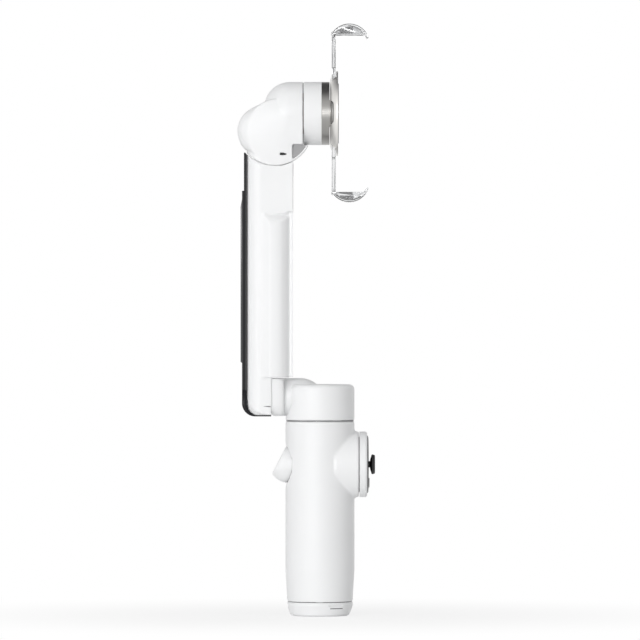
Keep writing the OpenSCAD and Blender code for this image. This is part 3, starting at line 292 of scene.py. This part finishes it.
def moulded_plastic(name, tint, roughness, drift=0.02, grain=2600.0, strength=0.05, coat=0.0, specular=0.5):
    """Injection-moulded plastic with a fine grain."""
    material, tree, shader, coordinate = new_material(name)
    group = add_node(tree, "ShaderNodeGroup", node_tree=shared_group("moulded"))
    group.inputs["Tint"].default_value = (*tint, 1)
    group.inputs["Drift"].default_value = drift
    group.inputs["Roughness"].default_value = roughness
    group.inputs["Grain"].default_value = grain
    tree.links.new(coordinate, group.inputs["Coordinate"])
    tree.links.new(group.outputs["Color"], shader.inputs["Base Color"])
    tree.links.new(group.outputs["Roughness"], shader.inputs["Roughness"])
    relief(tree, shader, group.outputs["Height"], strength, RELIEF)
    shader.inputs["Specular IOR Level"].default_value = specular
    shader.inputs["Coat Weight"].default_value = coat
    shader.inputs["Coat Roughness"].default_value = 0.06
    return material


def turned_metal(name, tint, roughness, strength=0.12, pitch=3000.0):
    """Metal with turning marks round the roll axis."""
    material, tree, shader, coordinate = new_material(name)
    group = add_node(tree, "ShaderNodeGroup", node_tree=shared_group("turned"))
    group.inputs["Roughness"].default_value = roughness
    group.inputs["Pitch"].default_value = pitch
    tree.links.new(coordinate, group.inputs["Coordinate"])
    tree.links.new(group.outputs["Roughness"], shader.inputs["Roughness"])
    relief(tree, shader, group.outputs["Height"], strength, RELIEF)
    shader.inputs["Base Color"].default_value = (*tint, 1)
    shader.inputs["Metallic"].default_value = 1.0
    return material


def clear_plastic(name, tint):
    """Clear polycarbonate with a faint moulding ripple."""
    material, tree, shader, coordinate = new_material(name)
    ripple = add_node(tree, "ShaderNodeTexNoise", Scale=90.0, Detail=1.0)
    tree.links.new(coordinate, ripple.inputs["Vector"])
    relief(tree, shader, ripple.outputs["Fac"], 0.06, 0.1 * MM)
    shader.inputs["Base Color"].default_value = (*tint, 1)
    shader.inputs["Roughness"].default_value = 0.03
    shader.inputs["IOR"].default_value = 1.585
    shader.inputs["Transmission Weight"].default_value = 1.0
    return material


MATERIALS = {}


def make_materials(finish):
    """Makes every finish of the object, by the record's material slot."""
    MATERIALS.update({
        "white_plastic": moulded_plastic("white_satin_plastic", finish.white, 0.45, coat=0.02, specular=0.4),
        "button_plastic": moulded_plastic("button_plastic", (0.72, 0.72, 0.72), 0.35),
        "black_gloss": moulded_plastic("gloss_black", finish.black, 0.3, strength=0.0, specular=0.2),
        "black_soft": moulded_plastic("soft_black", (0.02, 0.02, 0.021), 0.5, grain=4200.0, strength=0.25),
        "grey_plastic": moulded_plastic("inlay_grey", finish.inlay, 0.22, strength=0.08),
        "pocket_grey": moulded_plastic("pocket_grey", finish.pocket, 0.45),
        "dark_frame": moulded_plastic("frame_black", (0.03, 0.03, 0.032), 0.5, strength=0.2),
        "battery_wrap": moulded_plastic("battery_wrap", (0.03, 0.11, 0.4), 0.25),
        "board_green": moulded_plastic("board_green", (0.01, 0.1, 0.03), 0.3, drift=0.3),
        "motor_copper": turned_metal("winding_copper", (0.62, 0.3, 0.16), 0.3, strength=0.5),
        "magnet_steel": turned_metal("magnet_plating", (0.35, 0.35, 0.37), 0.3),
        "steel": turned_metal("ground_steel", (0.58, 0.58, 0.6), 0.22),
        "brass": turned_metal("insert_brass", (0.7, 0.48, 0.16), 0.25),
        "ring_metal": turned_metal("turned_ring", finish.ring_metal, 0.24),
        "clamp_metal": turned_metal("clamp_metal", finish.clamp_metal, 0.3),
        "pad_rubber": moulded_plastic("pad_rubber", (0.3, 0.3, 0.305), 0.6, grain=5000.0, strength=0.3),
        "clear_plastic": clear_plastic("clear_jaw_plastic", finish.clear),
        # The dark jaw edge finish is painted shade for the clear hooks' edges and tips
        "clear_edge": moulded_plastic("smoked_jaw_edge", finish.smoke, 0.12, strength=0.0),
    })


# The pocket's finish stands beside the record's slots: the node that has it, and the slot that it counts as.
# Its grey is painted shade for the pocket under the roll motor.
NODE_FINISH = {"pocket_insert": "pocket_grey"}


def dress(obj, finish):
    """Puts one finish on an object."""
    obj.data.materials.clear()
    obj.data.materials.append(MATERIALS[finish])


class GIMBAL_OT_finish_nodes(bpy.types.Operator):
    """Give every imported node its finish"""

    bl_idname = "gimbal.finish_nodes"
    bl_label = "Finish the nodes"

    def execute(self, context):
        make_materials(context.scene.gimbal_finish)
        for name, obj in frame["nodes"].items():
            dress(obj, NODE_FINISH.get(name, SLOTS[name]))
        return {"FINISHED"}


def new_piece(name, bm, finish, body, *nodes):
    """Turns a finished bmesh into a smooth piece that rides on a body and stands for nodes."""
    bmesh.ops.recalc_face_normals(bm, faces=bm.faces)
    mesh = bpy.data.meshes.new(name)
    bm.to_mesh(mesh)
    bm.free()
    mesh.shade_smooth()
    piece = bpy.data.objects.new(name, mesh)
    bpy.context.scene.collection.objects.link(piece)
    dress(piece, finish)
    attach(piece, body)
    if nodes:
        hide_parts(*nodes)
    return piece


def loft(bm, sections):
    """Adds a closed solid through sections of equal length, given in millimetres."""
    loops = []
    for points in sections:
        verts = [bm.verts.new(Vector(point) * MM) for point in points]
        loops.append([bm.edges.new(pair) for pair in zip(verts, verts[1:] + verts[:1])])
    for low, high in zip(loops, loops[1:]):
        bmesh.ops.bridge_loops(bm, edges=low + high)
    bmesh.ops.holes_fill(bm, edges=loops[0] + loops[-1], sides=0)


def lofted_piece(name, sections, finish, body):
    """A new piece that is one closed solid through sections."""
    bm = bmesh.new()
    loft(bm, sections)
    return new_piece(name, bm, finish, body)


def across(outline, left, right):
    """Two sections that carry an outline of (depth, height) across the object."""
    return [[(x, y, z) for y, z in outline] for x in (left, right)]


def in_depth(outline, near, far):
    """Two sections that carry an outline of (across, height) through the object's depth."""
    return [[(x, y, z) for x, z in outline] for y in (near, far)]


def spread(first, last, steps):
    """Evenly spaced values from first to last."""
    return [first + (last - first) * step / steps for step in range(steps + 1)]


def polar(radius, degrees):
    """A point at a radius and an angle from the origin of a plane."""
    turn = math.radians(degrees)
    return radius * math.cos(turn), radius * math.sin(turn)


def drop_to(shape, radius, x):
    """Height of the lower half of a circle round the tilt axis."""
    return shape.tilt_z - math.sqrt(radius ** 2 - (x - shape.tilt_x) ** 2)


def rounded_rows(shape, near, steps=4):
    """Left limit and depth of the rows that round the arm's outer edge, from its side to a near face."""
    for turn in spread(0, 90, steps):
        side, front = polar(shape.arm_round, turn)
        yield shape.arm_left + shape.arm_round - side, shape.arm_round - near - front


def head_growth(bm, shape):
    """Carries the head's skin down to the tilt seam and forward to the roll seam."""
    right = shape.pocket_left - 1.2
    top = shape.tilt_z - 3.5
    sections = []
    for left, depth in rounded_rows(shape, shape.head_near):
        low = [(x, depth, drop_to(shape, shape.turn_r, x)) for x in spread(left, right, 20)]
        sections.append(low + [(right, depth, top), (left, depth, top)])
    loft(bm, sections)
    foot = shape.roll_z - shape.roll_r + 0.02
    cheek = (0.33 - shape.roll_r, shape.roll_z - 3.2)
    corner = [(-1, foot), (-shape.head_near - 1.1, foot), cheek, (-1, shape.roll_z)]
    loft(bm, across(corner, shape.pocket_left - 1.5, shape.split_x - 0.03))


# The heel's path starts this far above the corner's middle, in mm, and takes this many steps round the corner
HEEL_RISE = 6.5
HEEL_STEPS = 24
# So many of its points lie outside the elbow's socket, which stays open below
HEEL_WALL = 20


def heel_path(shape, depth):
    """The arm's lower corner from back to elbow, at a depth of 0 to 1 into the cover that wraps it."""
    path = [(shape.heel_x - shape.heel_r + shape.tail_back * depth, shape.heel_z + HEEL_RISE)]
    for part in spread(0, 1, HEEL_STEPS):
        tail = shape.tail_tip + (shape.tail_back - shape.tail_tip) * (1 - part ** 2)
        x, z = polar(shape.heel_r - depth * tail, 180 + 90 * part)
        path.append((shape.heel_x + x, shape.heel_z + z))
    return path + [(shape.arm_seam - 0.37, shape.heel_z - shape.heel_r + shape.tail_tip * depth)]


def fill_heel(bm, shape):
    """Fills the arm's lower corner on both sides of the elbow's socket and behind it."""
    heel = heel_path(shape, 1.0)
    top, (right, foot) = heel[0][1], heel[-1]
    near_rows = list(rounded_rows(shape, shape.arm_near - 0.1, steps=8))
    far_rows = [(left, shape.arm_far - shape.arm_near - depth) for left, depth in near_rows]
    # Rows of smaller depth would reach into the socket
    for rows in (near_rows[1:], far_rows[2:]):
        sections = []
        for left, depth in rows:
            inset = left - shape.arm_left
            lean = inset / (right - shape.arm_left)
            rise = 0.3 * inset / (top - foot)
            section = [(x + lean * (right - x), depth, z + rise * (top - z)) for x, z in heel]
            sections.append(section + [(right, depth, top)])
        loft(bm, sections)
    wall = heel[:HEEL_WALL]
    wall += [(shape.socket_left, wall[-1][1]), (shape.socket_left, top)]
    # The wall behind the socket runs a little into the fills on both sides
    loft(bm, in_depth(wall, -shape.socket_half - 0.1, shape.socket_half + 0.4))


def roll_rib(bm, shape):
    """Rolls the rib's inner edge back to the cradle."""
    groove = shape.rib_roll_x + shape.rib_roll - 0.35
    ledge = -12.35
    for vert in bm.verts:
        x, y, z = vert.co / MM
        along_rib = shape.rib_low - 0.1 < z < shape.rib_low + shape.rib_l
        if along_rib and y < ledge and shape.rib_roll_x < x < groove + 0.6:
            x = min(x, groove)
            drop = math.sqrt(shape.rib_roll ** 2 - (x - shape.rib_roll_x) ** 2)
            vert.co = Vector((x, max(y, shape.rib_roll_y - drop), z)) * MM


def arm_growth(bm, shape):
    """Fills the lower corner, rolls the rib and brings the upper edge close to the turning head."""
    fill_heel(bm, shape)
    roll_rib(bm, shape)
    sections = []
    for left, depth in rounded_rows(shape, shape.arm_near):
        row = spread(left, shape.arm_right, 20)
        low = [(x, depth, drop_to(shape, shape.turn_r + 2.0, x)) for x in row]
        high = [(x, depth, drop_to(shape, shape.turn_r + 0.25, x)) for x in reversed(row)]
        sections.append(low + high)
    loft(bm, sections)


def elbow_section(shape, x, near, low, high, low_r, high_r):
    """One upright section of the elbow's near side, with rounded corners."""
    section = [(x, 0, shape.fold_z + high)]
    for side, r, start in ((high, high_r, 90), (low, low_r, 180)):
        corner = shape.fold_z + side - math.copysign(r, side)
        for turn in spread(start, start + 90, 8):
            y, z = polar(r, turn)
            section.append((x, r - near + y, corner + z))
    return section + [(x, 0, shape.fold_z + low)]


# The elbow's near side in mm: place across, near depth, foot and top from the fold axis, two roundings
ELBOW_FILL = (
    (-23.92, 12.95, -8.75, 9.45, 5.0, 1.0),
    (-20.6, 12.85, -9.1, 9.45, 5.5, 1.2),
    (-19.1, 12.55, -9.25, 9.45, 6.0, 2.0),
    (-18.05, 11.9, -9.35, 9.4, 7.0, 3.0),
)


def elbow_growth(bm, shape):
    """Fills the elbow's near side, so that it runs on from the arm's face."""
    loft(bm, [elbow_section(shape, *row) for row in ELBOW_FILL])


# Moulded pieces: node, name of the soft piece, skin step in mm, smoothing passes, growth
HOUSINGS = (
    ("handle_shell", "handle_housing", 0.6, 6, None),
    ("base_cap", "base_housing", 0.25, 3, None),
    ("trigger", "trigger_pad", 0.3, 6, None),
    ("pan_housing", "pan_cover", 0.5, 4, None),
    ("elbow", "elbow_housing", 0.4, 5, elbow_growth),
    ("arm_shell", "arm_housing", 0.5, 4, arm_growth),
    ("head_shell", "head_housing", 0.35, 4, head_growth),
)


def merged_copy(node):
    """A copy of a CAD node's mesh with its loose triangles joined."""
    bm = bmesh.new()
    bm.from_mesh(frame["nodes"][node].data)
    bmesh.ops.remove_doubles(bm, verts=bm.verts, dist=MERGE)
    return bm


class GIMBAL_OT_housings(bpy.types.Operator):
    """Draw the moulded housings with soft edges and blends"""

    bl_idname = "gimbal.housings"
    bl_label = "Moulded housings"

    def execute(self, context):
        shape = in_millimetres(context)
        for node, name, step, passes, growth in HOUSINGS:
            bm = merged_copy(node)
            if growth:
                growth(bm, shape)
            piece = new_piece(name, bm, SLOTS[node], BODIES[node], node)
            skin = piece.modifiers.new("skin", "REMESH")
            skin.mode = "VOXEL"
            skin.voxel_size = step * MM
            skin.use_smooth_shade = True
            blend = piece.modifiers.new("blend", "SMOOTH")
            blend.factor = 0.5
            blend.iterations = passes
        return {"FINISHED"}


# Faces of a jaw within FLAT are one, edges over SHARP are rounded, and edges over CREASE stay crisp
FLAT = math.radians(1)
SHARP = math.radians(40)
CREASE = math.radians(25)


class GIMBAL_OT_jaws(bpy.types.Operator):
    """Round the edges of the clear jaws and paint their hooks' edges and tips dark, as painted shade for the
    dark edges seen through the clear plastic
    """

    bl_idname = "gimbal.jaws"
    bl_label = "Clear jaws"

    def execute(self, context):
        shape = in_millimetres(context)
        for node in ("upper_jaw", "lower_jaw"):
            bm = merged_copy(node)
            bmesh.ops.dissolve_limit(bm, angle_limit=FLAT, verts=bm.verts, edges=bm.edges)
            sharp = [edge for edge in bm.edges if edge.is_manifold and edge.calc_face_angle() > SHARP]
            rounded = bmesh.ops.bevel(bm, geom=sharp, offset=shape.jaw_edge * MM, affect="EDGES", segments=2,
                                      profile=0.5, material=-1, clamp_overlap=False)
            for face in rounded["faces"]:
                face.material_index = 1
            bmesh.ops.triangulate(bm, faces=bm.faces)
            # The hooks' rounded edges and their tips take the second, dark material: painted shade for the
            # dark edges of the clear plastic
            for face in bm.faces:
                middle = face.calc_center_median() / MM
                on_hook = abs(middle.z - shape.roll_z) > shape.hook_from
                outline = face.material_index == 1 or middle.x > shape.hook_tip
                face.material_index = int(on_hook and outline)
            piece = new_piece(f"{node}_clear", bm, "clear_plastic", BODIES[node], node)
            piece.data.materials.append(MATERIALS["clear_edge"])
            piece.data.set_sharp_from_angle(angle=CREASE)
        return {"FINISHED"}


def washer(name, finish, body, radii, span, axis, centre):
    """A new flat ring between two radii that spans two places along an axis, in millimetres."""
    inner, outer = radii
    low, high = span
    along = Vector(axis)
    out = along.orthogonal().normalized()
    bm = bmesh.new()
    verts = [bm.verts.new((Vector(centre) + out * r + along * t) * MM)
             for r, t in ((inner, low), (outer, low), (outer, high), (inner, high))]
    edges = [bm.edges.new(pair) for pair in zip(verts, verts[1:] + verts[:1])]
    bmesh.ops.spin(bm, geom=verts + edges, cent=Vector(centre) * MM, axis=along, angle=2 * math.pi,
                   steps=128, use_merge=True)
    new_piece(name, bm, finish, body)


class GIMBAL_OT_seams(bpy.types.Operator):
    """Line the round seams of the roll motor, the pan motor and the base"""

    bl_idname = "gimbal.seams"
    bl_label = "Seam linings"

    def execute(self, context):
        shape = in_millimetres(context)
        outer = shape.roll_r - 0.35
        washer("roll_seam_washer", "black_soft", "head", (outer - 2.5, outer), (0.1, 0.3), (1, 0, 0),
               (shape.split_x, 0, shape.roll_z))
        outer = shape.pan_seam_r
        washer("pan_seam_washer", "pocket_grey", BODIES["pan_housing"], (outer - 3.0, outer), (-0.12, 0.12),
               (0, 0, 1), (0, 0, shape.pan_seam))
        outer = shape.foot_r - 0.02
        washer("base_seam_lip", "white_plastic", BODIES["base_cap"], (outer - 1.0, outer), (-0.5, -0.07),
               (0, 0, 1), (0, 0, shape.base_seam))
        return {"FINISHED"}


# Lips of the tilt seam: name, body, inner and outer edge from the turning radius, last angle in degrees
TILT_LIPS = (
    ("head_tilt_lip", "head", -0.7, -0.04, 293),
    ("arm_tilt_lip", "arm", 0.12, 0.7, 278),
)
TILT_LIP_START = 246
LIP_BACK = -12.3
# The elbow's lip in mm: near depth, foot and top from the fold axis, two roundings
ELBOW_LIP = (12.93, -8.75, 9.43, 4.0, 0.4)


class GIMBAL_OT_lips(bpy.types.Operator):
    """Close the seams at the elbow and under the tilting head with crisp lips"""

    bl_idname = "gimbal.lips"
    bl_label = "Seam lips"

    def execute(self, context):
        shape = in_millimetres(context)
        sections = [elbow_section(shape, shape.arm_seam + right, *ELBOW_LIP) for right in (0.04, 0.63)]
        lofted_piece("elbow_seam_lip", sections, "white_plastic", BODIES["elbow"])
        low, high, near = shape.fold_z - 7.8, shape.fold_z + 9.3, 0.02 - shape.arm_near
        lip = [(near, low), (near, high), (LIP_BACK, high), (LIP_BACK, low)]
        lofted_piece("arm_seam_lip", across(lip, shape.arm_seam - 0.67, shape.arm_seam - 0.04),
                     "white_plastic", "arm")
        fronts = {"head": 0.02 - shape.head_near, "arm": 0.03 - shape.arm_near}
        for name, body, inner, outer, last in TILT_LIPS:
            near = fronts[body]
            sections = []
            for turn in spread(TILT_LIP_START, last, 24):
                section = []
                for r, y in ((inner, LIP_BACK), (outer, LIP_BACK), (outer, near), (inner, near)):
                    x, z = polar(shape.turn_r + r, turn)
                    section.append((shape.tilt_x + x, y, shape.tilt_z + z))
                sections.append(section)
            lofted_piece(name, sections, "white_plastic", body)
        return {"FINISHED"}


# Outlines of the openings in mm, whose dark fills are painted shade: the vent from its own corner, the slit
# as (radius, height), the arm's slit
VENT = ((0, 0.05), (2.2, 0.05), (3.5, 0.45), (3.4, 0.75), (1.7, 1.25), (0.05, 1.3))
BASE_SLIT = ((15.3, 3.78), (15.95, 3.78), (16.06, 4.12), (15.3, 4.12))
BASE_SLIT_TURN = (288.3, 314.8)
ARM_SLIT = ((-28.2, 104.7), (-26.2, 104.35), (-24.6, 104.3), (-24.5, 104.75), (-25.6, 105.0), (-28.2, 104.8))


class GIMBAL_OT_openings(bpy.types.Operator):
    """Add dark pieces that paint the shade in the head's vent and in the slits of base and arm"""

    bl_idname = "gimbal.openings"
    bl_label = "Vent and slits"

    def execute(self, context):
        shape = in_millimetres(context)
        vent = [(shape.tilt_x + 2.5 + x, shape.tilt_z - 13.65 + z) for x, z in VENT]
        # The black vent piece stands out a little from the head and paints the shade inside the vent
        lofted_piece("head_vent", in_depth(vent, -shape.head_near - 0.55, 1.8 - shape.head_near),
                     "black_soft", "head")
        # The black slit piece paints a shadow line round part of the base cap
        lofted_piece("base_slit", [[(*polar(r, turn), z) for r, z in BASE_SLIT]
                                   for turn in spread(*BASE_SLIT_TURN, 8)], "black_soft", BODIES["base_cap"])
        # The grey piece on the arm paints the shade in its slit
        lofted_piece("arm_catch", in_depth(ARM_SLIT, -shape.arm_near - 0.03, 1.0 - shape.arm_near),
                     "pocket_grey", "arm")
        return {"FINISHED"}


class GIMBAL_OT_cover(bpy.types.Operator):
    """Carry the gloss back cover round the arm's lower corner and add its low inlay"""

    bl_idname = "gimbal.cover"
    bl_label = "Cover tail and inlay"

    def execute(self, context):
        shape = in_millimetres(context)
        pairs = list(zip(heel_path(shape, 0.0), heel_path(shape, 1.0)))
        under = pairs[HEEL_WALL - 1:]
        half, socket = shape.cover_half, shape.socket_half
        bm = bmesh.new()
        strips = ((pairs[:HEEL_WALL], -half, half), (under, -half, -socket), (under, socket, half))
        for strip, near, far in strips:
            loft(bm, [[(x, y, z) for y, (x, z) in ((near, skin), (far, skin), (far, root), (near, root))]
                      for skin, root in strip])
        new_piece("cover_tail", bm, "black_gloss", "arm")
        back = shape.arm_left - 2.4
        low, high = shape.inlay_low, shape.inlay_high
        side = [(back + 0.3, low), (back + 0.3, high), (back - 0.05, high), (back - 0.75, high - 4.0),
                (back - 0.75, low + 0.6), (back - 0.1, low)]
        bm = bmesh.new()
        loft(bm, in_depth(side, -shape.inlay_half, shape.inlay_half))
        bmesh.ops.bevel(bm, geom=bm.edges, offset=0.12 * MM, affect="EDGES", segments=2, profile=0.5,
                        material=-1)
        new_piece("arm_inlay_strip", bm, "grey_plastic", "arm", "arm_inlay")
        return {"FINISHED"}


def on_near_side(node, x, z, lift):
    """The point on a node's near side at a place in millimetres, lifted off its surface."""
    start = Vector((x, -60, z)) * MM
    hit, place, _, _ = frame["nodes"][node].ray_cast(start, Vector((0, 1, 0)))
    if not hit:
        raise RuntimeError(f"{node} has no surface at x {x}, z {z}")
    return (x, place.y / MM - lift, z)


# Layers of the disc inset: name, finish, margin inside its outline and lift off the disc, in millimetres. The
# black first layer shows as a thin rim round the metal, painted shade along the inset's edge.
INSET_LAYERS = (
    ("disc_inset_edge", "black_soft", 0.0, 0.06),
    ("disc_inset", "ring_metal", 0.3, 0.12),
)


class GIMBAL_OT_inset(bpy.types.Operator):
    """Add the metal inset on the clamp disc's near side, over a black layer whose rim paints the shade along
    its edge
    """

    bl_idname = "gimbal.inset"
    bl_label = "Disc inset"

    def execute(self, context):
        shape = in_millimetres(context)
        for name, finish, margin, lift in INSET_LAYERS:
            half = shape.inset_half - margin
            sections = []
            for rise in spread(-half, half, 16):
                corner = 0.75 * max(0, abs(rise) - half + 1.8)
                right = shape.inset_right - margin - corner
                front = [on_near_side("clamp_disc", x, shape.roll_z + rise, lift)
                         for x in spread(shape.inset_left, right, 5)]
                back = [(x, y + 0.4, z) for x, y, z in reversed(front)]
                sections.append(front + back)
            lofted_piece(name, sections, finish, "clamp")
        return {"FINISHED"}


# Lamps: name, place, width and height in metres, property with the power, whether reflections show it
LAMPS = (
    ("key_lamp", (-1.5, -3.6, 0.48), (2.4, 0.9), "key_power", True),
    ("top_fill", (-0.2, -0.3, 2.0), (1.4, 1.4), "top_power", False),
    ("rim_lamp", (1.8, 2.4, 0.6), (1.6, 1.6), "rim_power", False),
)
# Direction of the dark patch overhead that polished pieces mirror
PATCH = (0, 0.35, 0.94)


def area_lamp(name, place, aim, size, watts):
    """A soft lamp that faces a point."""
    data = bpy.data.lights.new(name, "AREA")
    data.shape = "RECTANGLE"
    data.size, data.size_y = size
    data.energy = watts
    lamp = bpy.data.objects.new(name, data)
    lamp.location = place
    lamp.rotation_euler = (Vector(aim) - Vector(place)).to_track_quat("-Z", "Y").to_euler()
    bpy.context.scene.collection.objects.link(lamp)
    return lamp


def seen_directly(tree):
    """A mask that is 1 for camera, glossy and transmission rays."""
    path = tree.nodes.new("ShaderNodeLightPath")
    total = add_node(tree, "ShaderNodeMath", operation="ADD")
    tree.links.new(path.outputs["Is Camera Ray"], total.inputs[0])
    tree.links.new(path.outputs["Is Glossy Ray"], total.inputs[1])
    mask = add_node(tree, "ShaderNodeMath", operation="ADD", use_clamp=True)
    tree.links.new(total.outputs[0], mask.inputs[0])
    tree.links.new(path.outputs["Is Transmission Ray"], mask.inputs[1])
    return mask.outputs[0]


def mix_by(tree, mask, first, second, surface):
    """Joins two shaders by a mask into an output."""
    mix = tree.nodes.new("ShaderNodeMixShader")
    tree.links.new(mask, mix.inputs["Fac"])
    tree.links.new(first.outputs[0], mix.inputs[1])
    tree.links.new(second.outputs[0], mix.inputs[2])
    tree.links.new(mix.outputs[0], surface.inputs["Surface"])


def studio_room(level):
    """An even room light, seen as white with a dark patch overhead."""
    world = bpy.data.worlds.new("studio_room")
    world.use_nodes = True
    tree = world.node_tree
    room = tree.nodes["Background"]
    room.inputs["Color"].default_value = (1, 1, 1, 1)
    room.inputs["Strength"].default_value = level
    white = add_node(tree, "ShaderNodeBackground", Strength=1.0)
    direction = tree.nodes.new("ShaderNodeTexCoord").outputs["Generated"]
    upward = add_node(tree, "ShaderNodeVectorMath", operation="DOT_PRODUCT")
    upward.inputs[1].default_value = PATCH
    tree.links.new(direction, upward.inputs[0])
    ceiling = tree.nodes.new("ShaderNodeValToRGB")
    wall, patch = ceiling.color_ramp.elements
    wall.position, wall.color = 0.45, (1, 1, 1, 1)
    patch.position, patch.color = 0.9, (0.12, 0.12, 0.125, 1)
    tree.links.new(upward.outputs["Value"], ceiling.inputs["Fac"])
    tree.links.new(ceiling.outputs["Color"], white.inputs["Color"])
    mix_by(tree, seen_directly(tree), room, white, tree.nodes["World Output"])
    return world


def floor_finish():
    """A white floor that keeps the object's shadow near it and fades into the white room."""
    material, tree, shader, place = new_material("studio_floor")
    shader.inputs["Base Color"].default_value = (0.9, 0.9, 0.9, 1)
    shader.inputs["Roughness"].default_value = 0.9
    glow = add_node(tree, "ShaderNodeEmission", Color=(1, 1, 1, 1), Strength=1.0)
    reach = add_node(tree, "ShaderNodeVectorMath", operation="LENGTH")
    tree.links.new(place, reach.inputs[0])
    fade = add_node(tree, "ShaderNodeMapRange", interpolation_type="SMOOTHSTEP")
    for socket, value in (("From Min", 0.03), ("From Max", 0.25), ("To Min", 0.75), ("To Max", 1.0)):
        fade.inputs[socket].default_value = value
    tree.links.new(reach.outputs["Value"], fade.inputs["Value"])
    share = add_node(tree, "ShaderNodeMath", operation="MULTIPLY")
    tree.links.new(seen_directly(tree), share.inputs[0])
    tree.links.new(fade.outputs["Result"], share.inputs[1])
    mix_by(tree, share.outputs[0], shader, glow, tree.nodes["Material Output"])
    return material


def studio_floor():
    """A wide level floor under the object."""
    bm = bmesh.new()
    bmesh.ops.create_grid(bm, x_segments=1, y_segments=1, size=6.0)
    mesh = bpy.data.meshes.new("floor")
    bm.to_mesh(mesh)
    bm.free()
    mesh.materials.append(floor_finish())
    floor = bpy.data.objects.new("floor", mesh)
    bpy.context.scene.collection.objects.link(floor)


def level_camera(studio):
    """A level camera far away, so that the view is nearly parallel."""
    data = bpy.data.cameras.new("photo_camera")
    data.sensor_width = 36.0
    data.lens = data.sensor_width * studio.distance / studio.picture_width
    data.clip_end = 50.0
    camera = bpy.data.objects.new("photo_camera", data)
    camera.location = (0, -studio.distance, studio.picture_centre)
    camera.rotation_euler = (math.radians(90), 0, 0)
    bpy.context.scene.collection.objects.link(camera)
    return camera


class GIMBAL_OT_stage(bpy.types.Operator):
    """Set up the white room and floor, the soft lamps and the camera"""

    bl_idname = "gimbal.stage"
    bl_label = "Studio stage"

    def execute(self, context):
        studio = context.scene.gimbal_studio
        context.scene.view_settings.view_transform = "Standard"
        context.scene.world = studio_room(studio.room_level)
        studio_floor()
        middle = (0, 0, studio.picture_centre)
        for name, place, size, watts, reflected in LAMPS:
            lamp = area_lamp(name, place, middle, size, getattr(studio, watts))
            lamp.visible_glossy = reflected
        context.scene.camera = level_camera(studio)
        return {"FINISHED"}


class GIMBAL_PT_panel(bpy.types.Panel):
    """The gimbal's steps in order"""

    bl_idname = "GIMBAL_PT_panel"
    bl_label = "Gimbal"
    bl_space_type = "VIEW_3D"
    bl_region_type = "UI"
    bl_category = "Gimbal"

    def draw(self, context):
        for operator in OPERATORS:
            self.layout.operator(operator.bl_idname)


OPERATORS = (GIMBAL_OT_finish_nodes, GIMBAL_OT_housings, GIMBAL_OT_jaws, GIMBAL_OT_seams, GIMBAL_OT_lips,
             GIMBAL_OT_openings, GIMBAL_OT_cover, GIMBAL_OT_inset, GIMBAL_OT_stage)
CLASSES = (GimbalFinish, GimbalShape, GimbalStudio, *OPERATORS, GIMBAL_PT_panel)


def register():
    """Registers the classes and hangs the sizes and colours on the scene."""
    for cls in CLASSES:
        bpy.utils.register_class(cls)
    bpy.types.Scene.gimbal_finish = PointerProperty(type=GimbalFinish)
    bpy.types.Scene.gimbal_shape = PointerProperty(type=GimbalShape)
    bpy.types.Scene.gimbal_studio = PointerProperty(type=GimbalStudio)


def unregister():
    """Undoes what register did."""
    del bpy.types.Scene.gimbal_studio
    del bpy.types.Scene.gimbal_shape
    del bpy.types.Scene.gimbal_finish
    for cls in reversed(CLASSES):
        bpy.utils.unregister_class(cls)


def main():
    """Dresses the object step by step."""
    register()
    bpy.ops.gimbal.finish_nodes()
    bpy.ops.gimbal.housings()
    bpy.ops.gimbal.jaws()
    bpy.ops.gimbal.seams()
    bpy.ops.gimbal.lips()
    bpy.ops.gimbal.openings()
    bpy.ops.gimbal.cover()
    bpy.ops.gimbal.inset()
    bpy.ops.gimbal.stage()


if __name__ == "__main__":
    main()
